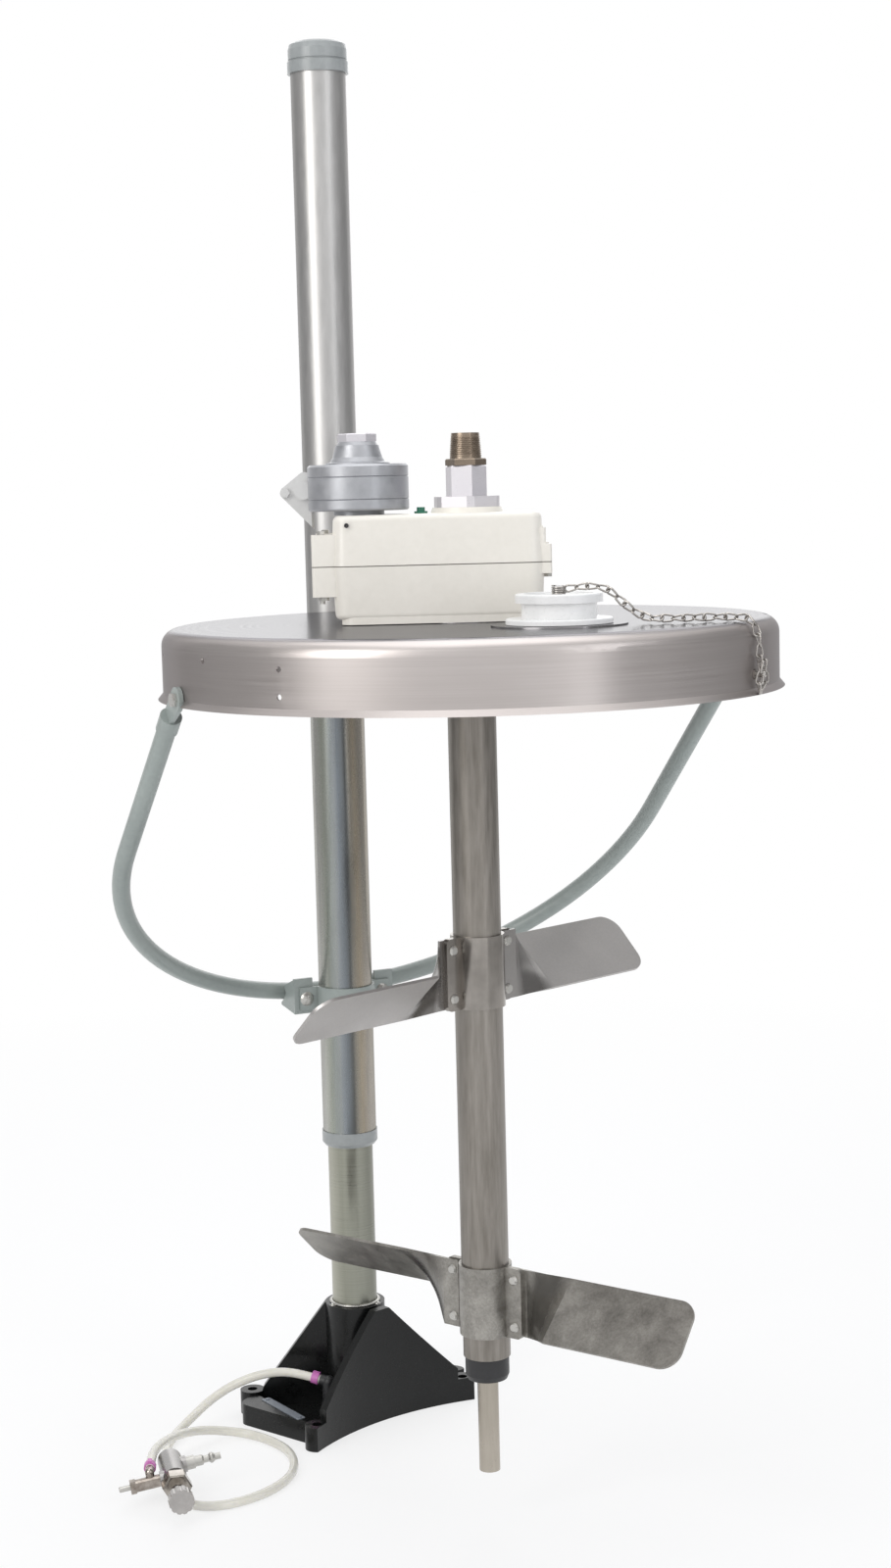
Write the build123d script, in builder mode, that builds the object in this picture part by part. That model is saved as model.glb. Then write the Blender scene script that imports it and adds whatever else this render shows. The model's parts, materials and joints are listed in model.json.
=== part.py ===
"""Air-driven tank agitator on a pneumatic lift.

A hollow agitator tube with four folded blades hangs through a spun drum cover and turns round a
fixed siphon tube.  A vane air motor drives it through a two-stage gearbox.  The cover is carried
by a tube that slides and turns on a fixed post, which stands in a cast floor base.

Frame: millimetres, +Z up.  The origin is the post's axis on the floor.  The agitator's axis is
parallel to the post's at (0, -mast_reach).
"""
import os
from math import acos, atan2, cos, degrees, pi, radians, sin, sqrt, tan

from build123d import *

# ---------------------------------------------------------------- driving dimensions
running_gap = 0.05          # radial clearance of a running fit
seat_gap = 0.04             # radial clearance of a seated, clamped or pressed piece
mast_reach = 351.0          # post axis to agitator axis
base_turn = 16.15           # how far the floor base is turned from the mast, degrees
gearbox_turn = -25.35       # direction of the gearbox's long axis, degrees

# floor base
foot_front_x, foot_front_y = 107.0, -61.0      # front anchor holes, in the base's own plane
foot_rear_x, foot_rear_y = 91.0, 80.0          # rear anchor holes
lug_radius, lug_height = 14.0, 27.0
anchor_hole_radius = 5.6
spot_face_radius = 10.5     # flat round each front anchor hole, for the nut
drum_gap_radius = 302.0     # hollow front of the base, round the drum
rim_height, rim_width = 24.0, 13.0
floor_thickness = 9.0
socket_radius, socket_height = 34.0, 130.0
socket_floor = 12.0
drum_wall_thickness, drum_wall_end_height, wall_apex = 10.0, 30.0, 10.0
rib_thickness, rib_top, rib_end_height = 10.0, 130.0, 32.0
nameplate_length, nameplate_width, nameplate_thickness = 80.0, 10.5, 0.8
socket_screw_circle, socket_screw_radius = 29.7, 1.6
socket_screw_angles = (-170.0, -53.0, 65.0)

# post and lift
post_radius, post_bore = 25.4, 19.05
post_top = 1493.0
lift_radius, lift_bore = 30.16, 26.25
lift_bottom, lift_top = 322.0, 1519.0
guide_radius, guide_length = 28.2, 58.0
collar_radius, collar_bottom, collar_top = 31.3, 315.0, 332.0
cap_radius, cap_bottom, cap_groove, cap_top = 33.2, 1502.0, 1515.0, 1535.0
piston_thickness = 12.0

# drum cover
cover_radius, cover_lip_radius = 303.0, 308.0
cover_lip_z, cover_top_z = 855.0, 923.0
cover_corner, cover_thickness, flare_height = 16.0, 2.0, 6.0
shaft_opening_radius = 30.0
doubler_radius, doubler_thickness = 64.0, 2.0    # stiffening disc welded under the gearbox

# agitator
shaft_radius, shaft_bore = 24.13, 20.45
shaft_bottom, shaft_top = 174.0, 989.0
siphon_radius, siphon_bore, siphon_bottom = 10.67, 7.9, 52.0
upper_set_z, lower_set_z = 573.0, 234.0
upper_set_angle, lower_set_angle = 19.7, -61.6
clamp_height, clamp_thickness = 73.0, 3.0
flange_reach, rivet_reach, rivet_rise = 46.0, 37.0, 24.5
blade_thickness = 3.0
blade_tip_top, blade_tip_bottom = 256.0, 250.0
twist_start, twist_end = 49.0, 104.0            # where the blade's twist begins and ends
blade_half_height, blade_chord, blade_pitch = 35.0, 74.0, 42.0
bushing_radius, bushing_bottom = 22.4, 150.0

# gearbox
box_left, box_right, box_half_width = -132.0, 74.0, 58.0
box_corner, box_wall = 16.0, 6.0
box_bottom, box_seam, box_top = 929.0, 980.0, 1029.0
gasket_thickness = 1.0
pad_radius = 54.0
mount_bolt_circle = 46.0
ear_half_width, ear_offset = 11.0, 40.0
left_ear_end, left_ear_bottom, left_ear_top = -151.0, 951.0, 1011.0
right_ear_end, right_ear_bottom, right_ear_top = 81.0, 969.0, 1013.0
right_ear_step, right_ear_set_back = 997.0, 5.5
motor_offset = 106.0        # motor axis to agitator axis
output_module, output_teeth, idler_pinion_teeth = 2.0, 42, 14
input_module, idler_wheel_teeth, motor_pinion_teeth = 1.5, 53, 14
gear_backlash = 0.3
output_gear_z, output_gear_face = 965.0, 18.0
input_gear_z, input_gear_face = 992.0, 9.0
bearing_radius, bearing_bottom, bearing_top = 36.0, 938.0, 956.0
idler_shaft_radius, motor_shaft_radius = 6.0, 6.0

# motor
motor_radius = 49.5
motor_bottom_z, motor_seam_low, motor_seam_high, motor_top_z = 1033.0, 1044.0, 1066.0, 1078.0
motor_chamber_radius, motor_chamber_offset = 38.0, 3.0
rotor_radius, vane_reach, vane_thickness, vane_count = 32.0, 34.6, 3.0, 4
cone_base_radius, cone_top_radius, cone_top_z = 27.0, 20.5, 1100.0
plug_hex_radius, plug_hex_height = 19.0, 8.0

# outlet stack
outlet_boss_radius, outlet_boss_top = 36.0, 1034.0
nut_hex_radius, nut_height, nut_turn = 35.5, 10.5, 11.3
coupling_hex_radius, coupling_height, coupling_turn = 20.6, 30.0, 20.4
nipple_hex_radius, nipple_hex_height, nipple_length, nipple_turn = 20.2, 6.5, 25.0, 31.6
nipple_bottom_radius, nipple_top_radius, nipple_bore = 15.5, 13.8, 10.0

# bung
bung_along, bung_aside = 84.0, -128.0         # from the agitator axis, along and across the gearbox
bung_hole_radius, bung_ring_radius, bung_ring_height = 38.0, 64.5, 1.5
bung_flange_radius, bung_neck_radius, bung_rim_radius = 50.5, 35.4, 41.2
bung_flange_height, bung_neck_height, bung_rim_height, bung_depth = 5.0, 15.0, 8.5, 20.0

# brace
brace_x, brace_start_z, brace_slope = 304.0, 868.0, 43.7
brace_leg_start, brace_leg_end = 38.0, 250.0
brace_tube_radius, brace_tube_bore = 9.5, 8.0
brace_bolt_z = 862.0
ear_plate_thickness, ear_plate_width = 4.5, 24.0
bracket_front_y, bracket_plate, bracket_side_x = 5.0, 4.0, 60.0
bracket_bottom, bracket_top = 469.0, 509.0
strap_thickness, strap_bottom, strap_top, strap_bolt_x = 3.0, 473.0, 499.0, 46.0
strap_bolt_z = 486.0

# saddle between cover and lift tube
saddle_bottom, saddle_top, saddle_wall, saddle_pad_half = 868.0, 908.0, 5.0, 55.0

# air hose and valve
hose_radius = 5.0
hose_route = [
    (-57.0, -29.6, 54.4), (-74.0, -13.6, 58.9), (-95.0, 1.0, 61.0), (-119.0, 14.0, 56.0),
    (-144.0, 25.0, 45.5), (-168.0, 31.0, 31.0), (-189.0, 29.0, 17.0), (-210.0, 18.0, 8.0),
    (-229.0, -3.0, 5.0), (-244.0, -33.0, 5.0), (-255.0, -72.0, 5.0), (-265.0, -115.0, 5.0),
    (-273.0, -155.0, 5.0), (-268.0, -186.0, 5.0), (-243.0, -202.0, 5.0), (-210.0, -200.0, 5.0),
    (-176.0, -187.0, 5.0), (-147.0, -163.0, 5.0), (-129.0, -130.0, 5.0), (-122.0, -92.0, 5.0),
    (-129.0, -55.0, 5.0), (-143.0, -27.0, 5.5), (-166.0, -14.0, 9.0), (-193.0, -17.0, 16.0),
    (-221.0, -31.0, 23.0), (-247.0, -53.0, 28.0), (-270.0, -81.0, 32.0), (-286.0, -111.0, 34.0),
    (-296.0, -138.0, 33.0),
]
valve_axis_z = 26.0
valve_back = (-263.0, -103.0)
valve_front = (-288.0, -215.0)
valve_body_radius = 13.0
valve_body_length, bonnet_length, knob_start, knob_length = 66.0, 28.0, 109.0, 13.0
bonnet_hex_radius, knob_radius, stem_radius = 15.6, 13.3, 5.0
tee_radius, tee_length, plunger_radius = 6.6, 44.0, 3.0
plug_length, quick_plug_radius = 40.0, 5.7

os.makedirs("parts", exist_ok=True)


def save(builder, name):
    """Label the finished piece and write it to its own file."""
    builder.part.label = name
    export_step(builder.part, f"parts/{name}.step")


# ---------------------------------------------------------------- planes
base_plane = Plane(origin=(0, 0, 0), x_dir=(cos(radians(base_turn)), sin(radians(base_turn)), 0))
agitator_plane = Plane(origin=(0, -mast_reach, 0))
gearbox_plane = Plane(
    origin=(0, -mast_reach, 0), x_dir=(cos(radians(gearbox_turn)), sin(radians(gearbox_turn)), 0)
)
motor_plane = Plane(origin=gearbox_plane.from_local_coords((-motor_offset, 0, 0)), x_dir=gearbox_plane.x_dir)
bung_plane = Plane(origin=gearbox_plane.from_local_coords((bung_along, bung_aside, 0)))


def level(plane, z):
    """The same plane lifted to height z."""
    return plane.offset(z)


def upright(plane, angle, height=0.0):
    """Vertical plane through the plane's origin: local X runs out at the angle, local Y is up."""
    out = plane.x_dir * cos(radians(angle)) + plane.y_dir * sin(radians(angle))
    side = plane.x_dir * sin(radians(angle)) - plane.y_dir * cos(radians(angle))
    return Plane(origin=plane.origin + Vector(0, 0, height), x_dir=out, z_dir=side)


# ---------------------------------------------------------------- shared pieces
def hex_bolt(shank_radius, shank_length, head_radius, head_height, nut_depth=None):
    """Hex bolt: seat at the origin, head up, shank down; a nut too where it goes through."""
    with BuildPart() as bolt:
        with BuildSketch():
            RegularPolygon(head_radius, 6)
        extrude(amount=head_height)
        with BuildSketch():
            Circle(shank_radius)
        extrude(amount=-shank_length)
        if nut_depth is not None:
            with BuildSketch(Plane.XY.offset(-nut_depth)):
                RegularPolygon(head_radius, 6)
            extrude(amount=-head_height)
    return bolt.part


def round_bolt(shank_radius, shank_length, head_radius, head_height):
    """Round-headed screw: seat at the origin, head up, shank down."""
    with BuildPart() as screw:
        with BuildSketch(Plane.XZ):
            with BuildLine():
                crown = Line((0, -shank_length), (shank_radius, -shank_length))
                side = Line(crown @ 1, (shank_radius, 0))
                under = Line(side @ 1, (head_radius, 0))
                RadiusArc(under @ 1, (0, head_height), -(head_radius**2 + head_height**2) / (2 * head_height))
                Line((0, head_height), (0, -shank_length))
            make_face()
        revolve(axis=Axis.Z)
    return screw.part


def involute_point(base_radius, radius, start_angle):
    """Point of the involute of base_radius where it reaches radius."""
    roll = sqrt(max((radius / base_radius) ** 2 - 1, 0))
    angle = start_angle + roll - atan2(roll, 1)
    return radius, angle


def gear_points(module, teeth, phase):
    """Outline of an external involute gear; phase is the direction of a tooth's middle, radians."""
    pressure = radians(20)
    pitch_radius = module * teeth / 2
    base_radius = pitch_radius * cos(pressure)
    outer_radius, root_radius = pitch_radius + module, pitch_radius - 1.25 * module
    half_tooth = (pi * module / 2 - gear_backlash) / (2 * pitch_radius)
    half_base = half_tooth + tan(pressure) - pressure
    first = max(base_radius, root_radius)
    flank_radii = [first, pitch_radius, outer_radius]
    points = []
    for tooth in range(teeth):
        middle = phase + 2 * pi * tooth / teeth
        rising = [(root_radius, middle - half_base)] if root_radius < first - 0.05 else []
        for radius in flank_radii:
            reach, turn = involute_point(base_radius, radius, 0)
            rising.append((reach, middle - half_base + turn))
        falling = [(reach, 2 * middle - angle) for reach, angle in reversed(rising)]
        points += [(reach * cos(angle), reach * sin(angle)) for reach, angle in rising + falling]
    return points


def add_gear(plane, module, teeth, phase, face, bore):
    """Gear blank with teeth, standing on the plane, in the part being built."""
    with BuildSketch(plane) as blank:
        Polygon(*gear_points(module, teeth, phase), align=None)
        if bore:
            Circle(bore, mode=Mode.SUBTRACT)
    extrude(blank.sketch, amount=face)


# ---------------------------------------------------------------- floor base
def base_point(x, y, z=0.0):
    return base_plane.from_local_coords((x, y, z))


anchor_points = [
    (-foot_front_x, foot_front_y), (foot_front_x, foot_front_y),
    (-foot_rear_x, foot_rear_y), (foot_rear_x, foot_rear_y),
]

with BuildSketch(base_plane) as foot_outline:
    with Locations(*anchor_points):
        Circle(lug_radius)
    make_hull()
    with Locations((0, -mast_reach)):
        Circle(drum_gap_radius, mode=Mode.SUBTRACT)

# the wall that hugs the drum: a curved wall cut to a triangle
with BuildPart() as drum_wall:
    with BuildSketch(base_plane):
        with Locations((0, -mast_reach)):
            Circle(drum_gap_radius + drum_wall_thickness)
            Circle(drum_gap_radius, mode=Mode.SUBTRACT)
        with Locations((0, foot_front_y)):
            Rectangle(2 * foot_front_x, 4 * lug_radius, mode=Mode.INTERSECT)
    extrude(amount=socket_height)
    with BuildSketch(upright(base_plane, 0)):
        Polygon(
            (-foot_front_x, 0), (foot_front_x, 0), (foot_front_x, drum_wall_end_height),
            (wall_apex, socket_height), (-wall_apex, socket_height),
            (-foot_front_x, drum_wall_end_height), align=None,
        )
    extrude(amount=2 * drum_gap_radius, both=True, mode=Mode.INTERSECT)

elbow_x, elbow_y = -58.0, -21.0         # air inlet elbow, in the base's own plane
elbow_boss_radius, elbow_boss_top = 13.0, 20.0
elbow_spigot_radius = 6.0

with BuildPart() as base_casting:
    with BuildSketch(base_plane):
        add(foot_outline.sketch)
    extrude(amount=rim_height)
    with BuildSketch(level(base_plane, rim_height)):
        with Locations(*anchor_points):
            Circle(lug_radius - rim_width)
        make_hull()
        with Locations((0, -mast_reach)):
            Circle(drum_gap_radius + rim_width, mode=Mode.SUBTRACT)
    extrude(amount=-(rim_height - floor_thickness), mode=Mode.SUBTRACT)
    with BuildSketch(base_plane):
        with Locations(*anchor_points):
            Circle(lug_radius)
    extrude(amount=lug_height)
    with BuildSketch(base_plane):
        with Locations((0, -mast_reach)):
            Circle(drum_gap_radius)
    extrude(amount=lug_height, mode=Mode.SUBTRACT)
    add(drum_wall.part)
    rear_angle = degrees(atan2(foot_rear_y, foot_rear_x))
    rib_length = sqrt(foot_rear_x**2 + foot_rear_y**2)
    for angle in (rear_angle, 180 - rear_angle):
        with BuildSketch(upright(base_plane, angle)):
            Polygon(
                (0, 0), (rib_length, 0), (rib_length - lug_radius, rib_end_height),
                (socket_radius, rib_top), (0, rib_top), align=None,
            )
        extrude(amount=rib_thickness / 2, both=True)
    with BuildSketch(base_plane):
        Circle(socket_radius)
        with Locations((elbow_x, elbow_y)):
            Circle(elbow_boss_radius)
    extrude(amount=elbow_boss_top)
    with BuildSketch(base_plane):
        Circle(socket_radius)
    extrude(amount=socket_height)
    with BuildSketch(level(base_plane, socket_floor)):
        Circle(post_radius + seat_gap)
    extrude(amount=rib_top, mode=Mode.SUBTRACT)
    with BuildSketch(base_plane):
        with Locations(*anchor_points):
            Circle(anchor_hole_radius)
    extrude(amount=rib_top, mode=Mode.SUBTRACT)
    with BuildSketch(level(base_plane, lug_height)):
        with Locations(*anchor_points[:2]):
            Circle(spot_face_radius)
    extrude(amount=rib_top, mode=Mode.SUBTRACT)
    with BuildSketch(level(base_plane, elbow_boss_top)):
        with Locations((elbow_x, elbow_y)):
            Circle(elbow_spigot_radius + seat_gap)
    extrude(amount=-10, mode=Mode.SUBTRACT)
    with BuildSketch(level(Plane.XY, socket_height)):
        with PolarLocations(socket_screw_circle, 1, start_angle=socket_screw_angles[0]):
            Circle(socket_screw_radius + seat_gap)
        with PolarLocations(socket_screw_circle, 1, start_angle=socket_screw_angles[1]):
            Circle(socket_screw_radius + seat_gap)
        with PolarLocations(socket_screw_circle, 1, start_angle=socket_screw_angles[2]):
            Circle(socket_screw_radius + seat_gap)
    extrude(amount=-15, mode=Mode.SUBTRACT)
save(base_casting, "base_casting")

with BuildPart() as base_nameplate:
    plate_angle = degrees(atan2(foot_rear_y - foot_front_y, foot_front_x - foot_rear_x))
    plate_x, plate_y = -(foot_front_x + foot_rear_x) / 2, (foot_front_y + foot_rear_y) / 2
    with BuildSketch(level(base_plane, rim_height)):
        with Locations(Location((plate_x - 1.5, plate_y, 0), (0, 0, plate_angle))):
            RectangleRounded(nameplate_length, nameplate_width, 2)
    extrude(amount=nameplate_thickness)
    with BuildSketch(level(base_plane, rim_height + nameplate_thickness)):
        with Locations(Location((plate_x - 1.5, plate_y, 0), (0, 0, plate_angle))):
            with GridLocations(nameplate_length - 10, 0, 2, 1):
                Circle(2.4)
    extrude(amount=1.2)
save(base_nameplate, "base_nameplate")

with BuildPart() as inner_post:
    with BuildSketch(level(Plane.XY, socket_floor)):
        Circle(post_radius)
        Circle(post_bore, mode=Mode.SUBTRACT)
    extrude(amount=post_top - socket_floor)
save(inner_post, "inner_post")

with BuildPart() as post_piston:
    with BuildSketch(Plane.XZ):
        with BuildLine():
            Polyline(
                (0, post_top + piston_thickness), (lift_bore - running_gap - 2, post_top + piston_thickness),
                (lift_bore - running_gap, post_top + piston_thickness - 2), (lift_bore - running_gap, post_top),
                (post_bore - seat_gap, post_top), (post_bore - seat_gap, post_top - 22), (0, post_top - 22),
                close=True,
            )
        make_face()
    revolve(axis=Axis.Z)
save(post_piston, "post_piston")

with BuildPart() as socket_screws:
    for angle in socket_screw_angles:
        with Locations((socket_screw_circle * cos(radians(angle)), socket_screw_circle * sin(radians(angle)),
                        socket_height)):
            add(round_bolt(socket_screw_radius, 12, 3.6, 2.2))
save(socket_screws, "socket_screws")

# ---------------------------------------------------------------- air inlet, hose and valve
route = [Vector(*point) for point in hose_route]
hose_start_dir = (route[1] - route[0]).normalized()
hose_end_dir = (route[-1] - route[-2]).normalized()


def along_plane(point, direction, side=(0, 0, 1)):
    """Plane across a direction, so that its normal runs along the direction."""
    across = Vector(*side).cross(direction).normalized()
    return Plane(origin=point, x_dir=across, z_dir=direction)


elbow_axis = base_point(elbow_x, elbow_y)
elbow_centre = route[0] - hose_start_dir * 10

with BuildPart() as inlet_elbow:
    with BuildSketch(Plane(origin=elbow_axis + Vector(0, 0, elbow_boss_top))):
        Circle(elbow_spigot_radius)
    extrude(amount=-9)
    with BuildSketch(Plane(origin=elbow_axis + Vector(0, 0, elbow_boss_top))):
        RegularPolygon(9.5, 6)
    extrude(amount=10)
    with BuildSketch(Plane(origin=(elbow_centre.X, elbow_centre.Y, elbow_boss_top + 10))):
        Circle(7.5)
    extrude(amount=elbow_centre.Z - elbow_boss_top - 10)
    with Locations(elbow_centre):
        Sphere(7.5)
    with BuildSketch(along_plane(elbow_centre, hose_start_dir)):
        Circle(6.5)
    extrude(amount=10)
save(inlet_elbow, "inlet_elbow")

with BuildPart() as air_hose:
    hose_radii = []
    for before, corner, after in zip(route, route[1:], route[2:]):
        run_in, run_out = corner - before, after - corner
        turn = run_in.get_angle(run_out)
        hose_radii.append(0.45 * min(run_in.length, run_out.length) / tan(radians(turn) / 2))
    with BuildLine() as hose_line:
        FilletPolyline(*route, radius=hose_radii)
    with BuildSketch(along_plane(route[0], hose_start_dir)):
        Circle(hose_radius)
    sweep(path=hose_line.wires()[0])
hose_length = hose_line.wires()[0].length
print("hose radii", [round(r) for r in hose_radii])
print("hose length", round(hose_length, 1), "volume ratio",
      round(air_hose.part.volume / (pi * hose_radius**2 * hose_length), 4))
save(air_hose, "air_hose")

with BuildPart() as hose_clamps:
    for point, direction in ((route[0] + hose_start_dir * 2, hose_start_dir),
                             (route[-1] - hose_end_dir * 10, hose_end_dir)):
        with BuildSketch(along_plane(point, direction)):
            Circle(hose_radius + 1.4)
            with Locations((0, hose_radius + 1.2)):
                Rectangle(4.5, 3)
            Circle(hose_radius + 0.02, mode=Mode.SUBTRACT)
        extrude(amount=8)
save(hose_clamps, "hose_clamps")

valve_start = Vector(*valve_back, valve_axis_z)
valve_dir = (Vector(*valve_front, valve_axis_z) - valve_start).normalized()
valve_roll = 8.0
valve_left = Vector(valve_dir.Y, -valve_dir.X, 0).normalized() * cos(radians(valve_roll)) \
    - Vector(0, 0, sin(radians(valve_roll)))
tee_along, plug_along = 52.0, 24.0


def valve_plane(distance):
    return along_plane(valve_start + valve_dir * distance, valve_dir)


plug_root = valve_start + valve_dir * plug_along
tee_root = valve_start + valve_dir * tee_along

with BuildPart() as valve_body:
    with BuildSketch(valve_plane(0)):
        Circle(valve_body_radius - 2)
    extrude(amount=4)
    with BuildSketch(valve_plane(4)):
        Circle(valve_body_radius)
    extrude(amount=valve_body_length - 10)
    with BuildSketch(valve_plane(valve_body_length - 6)):
        Circle(valve_body_radius - 1.5)
    extrude(amount=6)
    with BuildSketch(along_plane(plug_root, -valve_left)):
        Circle(quick_plug_radius + 3)
    extrude(amount=valve_body_radius + 3)
    with BuildSketch(along_plane(tee_root, valve_left)):
        Circle(tee_radius + 2.5)
    extrude(amount=valve_body_radius + 2)
    with BuildSketch(along_plane(plug_root, -valve_left)):
        Circle(quick_plug_radius - 1)
    extrude(amount=valve_body_radius + 3.1, mode=Mode.SUBTRACT)
    with BuildSketch(along_plane(tee_root, valve_left)):
        Circle(tee_radius - 1.5)
    extrude(amount=valve_body_radius + 3.1, mode=Mode.SUBTRACT)
    with BuildSketch(valve_plane(valve_body_length)):
        Circle(stem_radius + running_gap)
    extrude(amount=-20, mode=Mode.SUBTRACT)
save(valve_body, "valve_body")

with BuildPart() as valve_bonnet:
    with BuildSketch(valve_plane(valve_body_length)):
        RegularPolygon(bonnet_hex_radius, 6)
    extrude(amount=bonnet_length - 10)
    chamfer(valve_bonnet.faces().filter_by(Plane(origin=(0, 0, 0), z_dir=valve_dir)).edges(), 1.5)
    with BuildSketch(valve_plane(valve_body_length + bonnet_length - 10)):
        Circle(stem_radius + 3.5)
    extrude(amount=10)
    with BuildSketch(valve_plane(valve_body_length)):
        Circle(stem_radius + running_gap)
    extrude(amount=bonnet_length, mode=Mode.SUBTRACT)
save(valve_bonnet, "valve_bonnet")

with BuildPart() as valve_knob:
    with BuildSketch(valve_plane(valve_body_length - 10)):
        Circle(stem_radius)
    extrude(amount=knob_start - valve_body_length + 12)
    with BuildSketch(valve_plane(knob_start)):
        Circle(knob_radius)
        with PolarLocations(knob_radius + 1.2, 12):
            Circle(2.2, mode=Mode.SUBTRACT)
    extrude(amount=knob_length)
    with BuildSketch(valve_plane(knob_start)):
        Circle(stem_radius + 2.5)
    extrude(amount=-4)
save(valve_knob, "valve_knob")

with BuildPart() as quick_plug:
    with BuildSketch(along_plane(plug_root - valve_left * 6, -valve_left)):
        Circle(quick_plug_radius - 1 - seat_gap)
    extrude(amount=valve_body_radius - 3)
    with BuildSketch(Plane(origin=plug_root - valve_left * (valve_body_radius + 3), x_dir=-valve_left,
                           z_dir=(valve_left.cross(valve_dir)))):
        with BuildLine():
            Polyline(
                (0, 0), (0, 7.2), (9, 7.2), (9, quick_plug_radius), (17, quick_plug_radius), (19, 3.9),
                (24, 3.9), (26, quick_plug_radius), (28, quick_plug_radius), (31, 3.6),
                (plug_length - 3, 3.6), (plug_length - 3, 0), close=True,
            )
        make_face()
    revolve(axis=Axis(plug_root, -valve_left))
    with BuildSketch(along_plane(plug_root - valve_left * (valve_body_radius + plug_length), valve_left)):
        Circle(2.2)
    extrude(amount=valve_body_radius + plug_length - 8, mode=Mode.SUBTRACT)
save(quick_plug, "quick_plug")

tee_face = tee_root + valve_left * (valve_body_radius + 2)
hose_barb_arm = 8.0
hose_barb_root = tee_face + valve_left * 10
hose_barb_bend = route[-1] + hose_end_dir * hose_barb_arm
hose_barb_dir = (hose_barb_bend - hose_barb_root).normalized()

with BuildPart() as valve_tee:
    with BuildSketch(along_plane(tee_root + valve_left * 8, valve_left)):
        Circle(tee_radius - 1.5 - seat_gap)
    extrude(amount=valve_body_radius - 6)
    with BuildSketch(along_plane(tee_face, valve_left)):
        Circle(tee_radius)
    extrude(amount=tee_length - 12)
    with BuildSketch(along_plane(tee_face + valve_left * (tee_length - 18), valve_left)):
        RegularPolygon(tee_radius + 1.2, 6)
    extrude(amount=6)
    with BuildSketch(along_plane(hose_barb_root, hose_barb_dir)):
        Circle(4.6)
    extrude(amount=(hose_barb_bend - hose_barb_root).length)
    with Locations(hose_barb_bend):
        Sphere(4.9)
    with BuildSketch(along_plane(hose_barb_bend, -hose_end_dir)):
        Circle(4.6)
    extrude(amount=hose_barb_arm)
    with BuildSketch(along_plane(tee_face + valve_left * (tee_length - 12), valve_left)):
        Circle(plunger_radius + running_gap)
    extrude(amount=-16, mode=Mode.SUBTRACT)
save(valve_tee, "valve_tee")

with BuildPart() as valve_plunger:
    with BuildSketch(along_plane(tee_face + valve_left * (tee_length - 22), valve_left)):
        Circle(plunger_radius)
    extrude(amount=22)
    fillet(valve_plunger.edges().sort_by(Axis(tee_face, valve_left))[-1], 1.2)
save(valve_plunger, "valve_plunger")

# ---------------------------------------------------------------- lift tube
guide_bottom = lift_bottom + 1.0
guide_top = guide_bottom + guide_length
seal_bottom, seal_top = 318.0, 321.5

with BuildPart() as guide_bushing:
    with BuildSketch(level(Plane.XY, guide_bottom)):
        Circle(guide_radius)
        Circle(post_radius + running_gap, mode=Mode.SUBTRACT)
    extrude(amount=guide_length)
save(guide_bushing, "guide_bushing")

with BuildPart() as lift_tube:
    with BuildSketch(level(Plane.XY, lift_bottom)):
        Circle(lift_radius)
        Circle(lift_bore, mode=Mode.SUBTRACT)
    extrude(amount=lift_top - lift_bottom)
    with BuildSketch(level(Plane.XY, lift_bottom)):
        Circle(guide_radius + running_gap)
    extrude(amount=guide_top + 0.4 - lift_bottom, mode=Mode.SUBTRACT)
save(lift_tube, "lift_tube")

with BuildPart() as lift_collar:
    with BuildSketch(Plane.XZ):
        Polygon(
            (post_radius + 1, collar_bottom), (collar_radius - 3, collar_bottom),
            (collar_radius, collar_bottom + 4), (collar_radius, collar_top),
            (lift_radius + seat_gap, collar_top), (lift_radius + seat_gap, lift_bottom - seat_gap),
            (guide_radius, lift_bottom - seat_gap), (guide_radius, seal_bottom - seat_gap),
            (post_radius + 1, seal_bottom - seat_gap), align=None,
        )
    revolve(axis=Axis.Z)
save(lift_collar, "lift_collar")

with BuildPart() as wiper_seal:
    with BuildSketch(Plane.XZ):
        Polygon(
            (post_radius + running_gap, seal_bottom), (guide_radius - seat_gap, seal_bottom),
            (guide_radius - seat_gap, seal_top), (post_radius + 1.2, seal_top),
            (post_radius + running_gap, seal_bottom + 1.5), align=None,
        )
    revolve(axis=Axis.Z)
save(wiper_seal, "wiper_seal")

with BuildPart() as top_cap:
    with BuildSketch(Plane.XZ):
        with BuildLine():
            Polyline(
                (0, cap_top), (cap_radius - 7, cap_top), (cap_radius - 2.5, cap_top - 2.5),
                (cap_radius - 1, cap_top - 8), (cap_radius - 1, cap_groove + 1.5),
                (cap_radius - 2, cap_groove + 1), (cap_radius - 2, cap_groove - 0.5),
                (cap_radius, cap_groove - 1), (cap_radius, cap_bottom), (lift_radius + seat_gap, cap_bottom),
                (lift_radius + seat_gap, lift_top + seat_gap), (0, lift_top + seat_gap), close=True,
            )
        make_face()
    revolve(axis=Axis.Z)
save(top_cap, "top_cap")

# ---------------------------------------------------------------- drum cover
bung_local = agitator_plane.to_local_coords(bung_plane.origin)
skirt_hole_radius = 2.75
skirt_holes = [(166.8, 899.5), (-169.7, 901.0), (-149.7, 896.4), (-149.8, 871.5), (-55.0, 874.0)]
mount_angles = (45.0, 135.0, 225.0, 315.0)
ear_bolt_radius = 4.0
ear_notch_front, ear_notch_back, ear_plate_x = 13.0, 26.0, cover_radius + 0.4
saddle_bolt_angle = 7.0     # of the saddle's bolts, from the line to the post
saddle_bolt_z = 888.0

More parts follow.
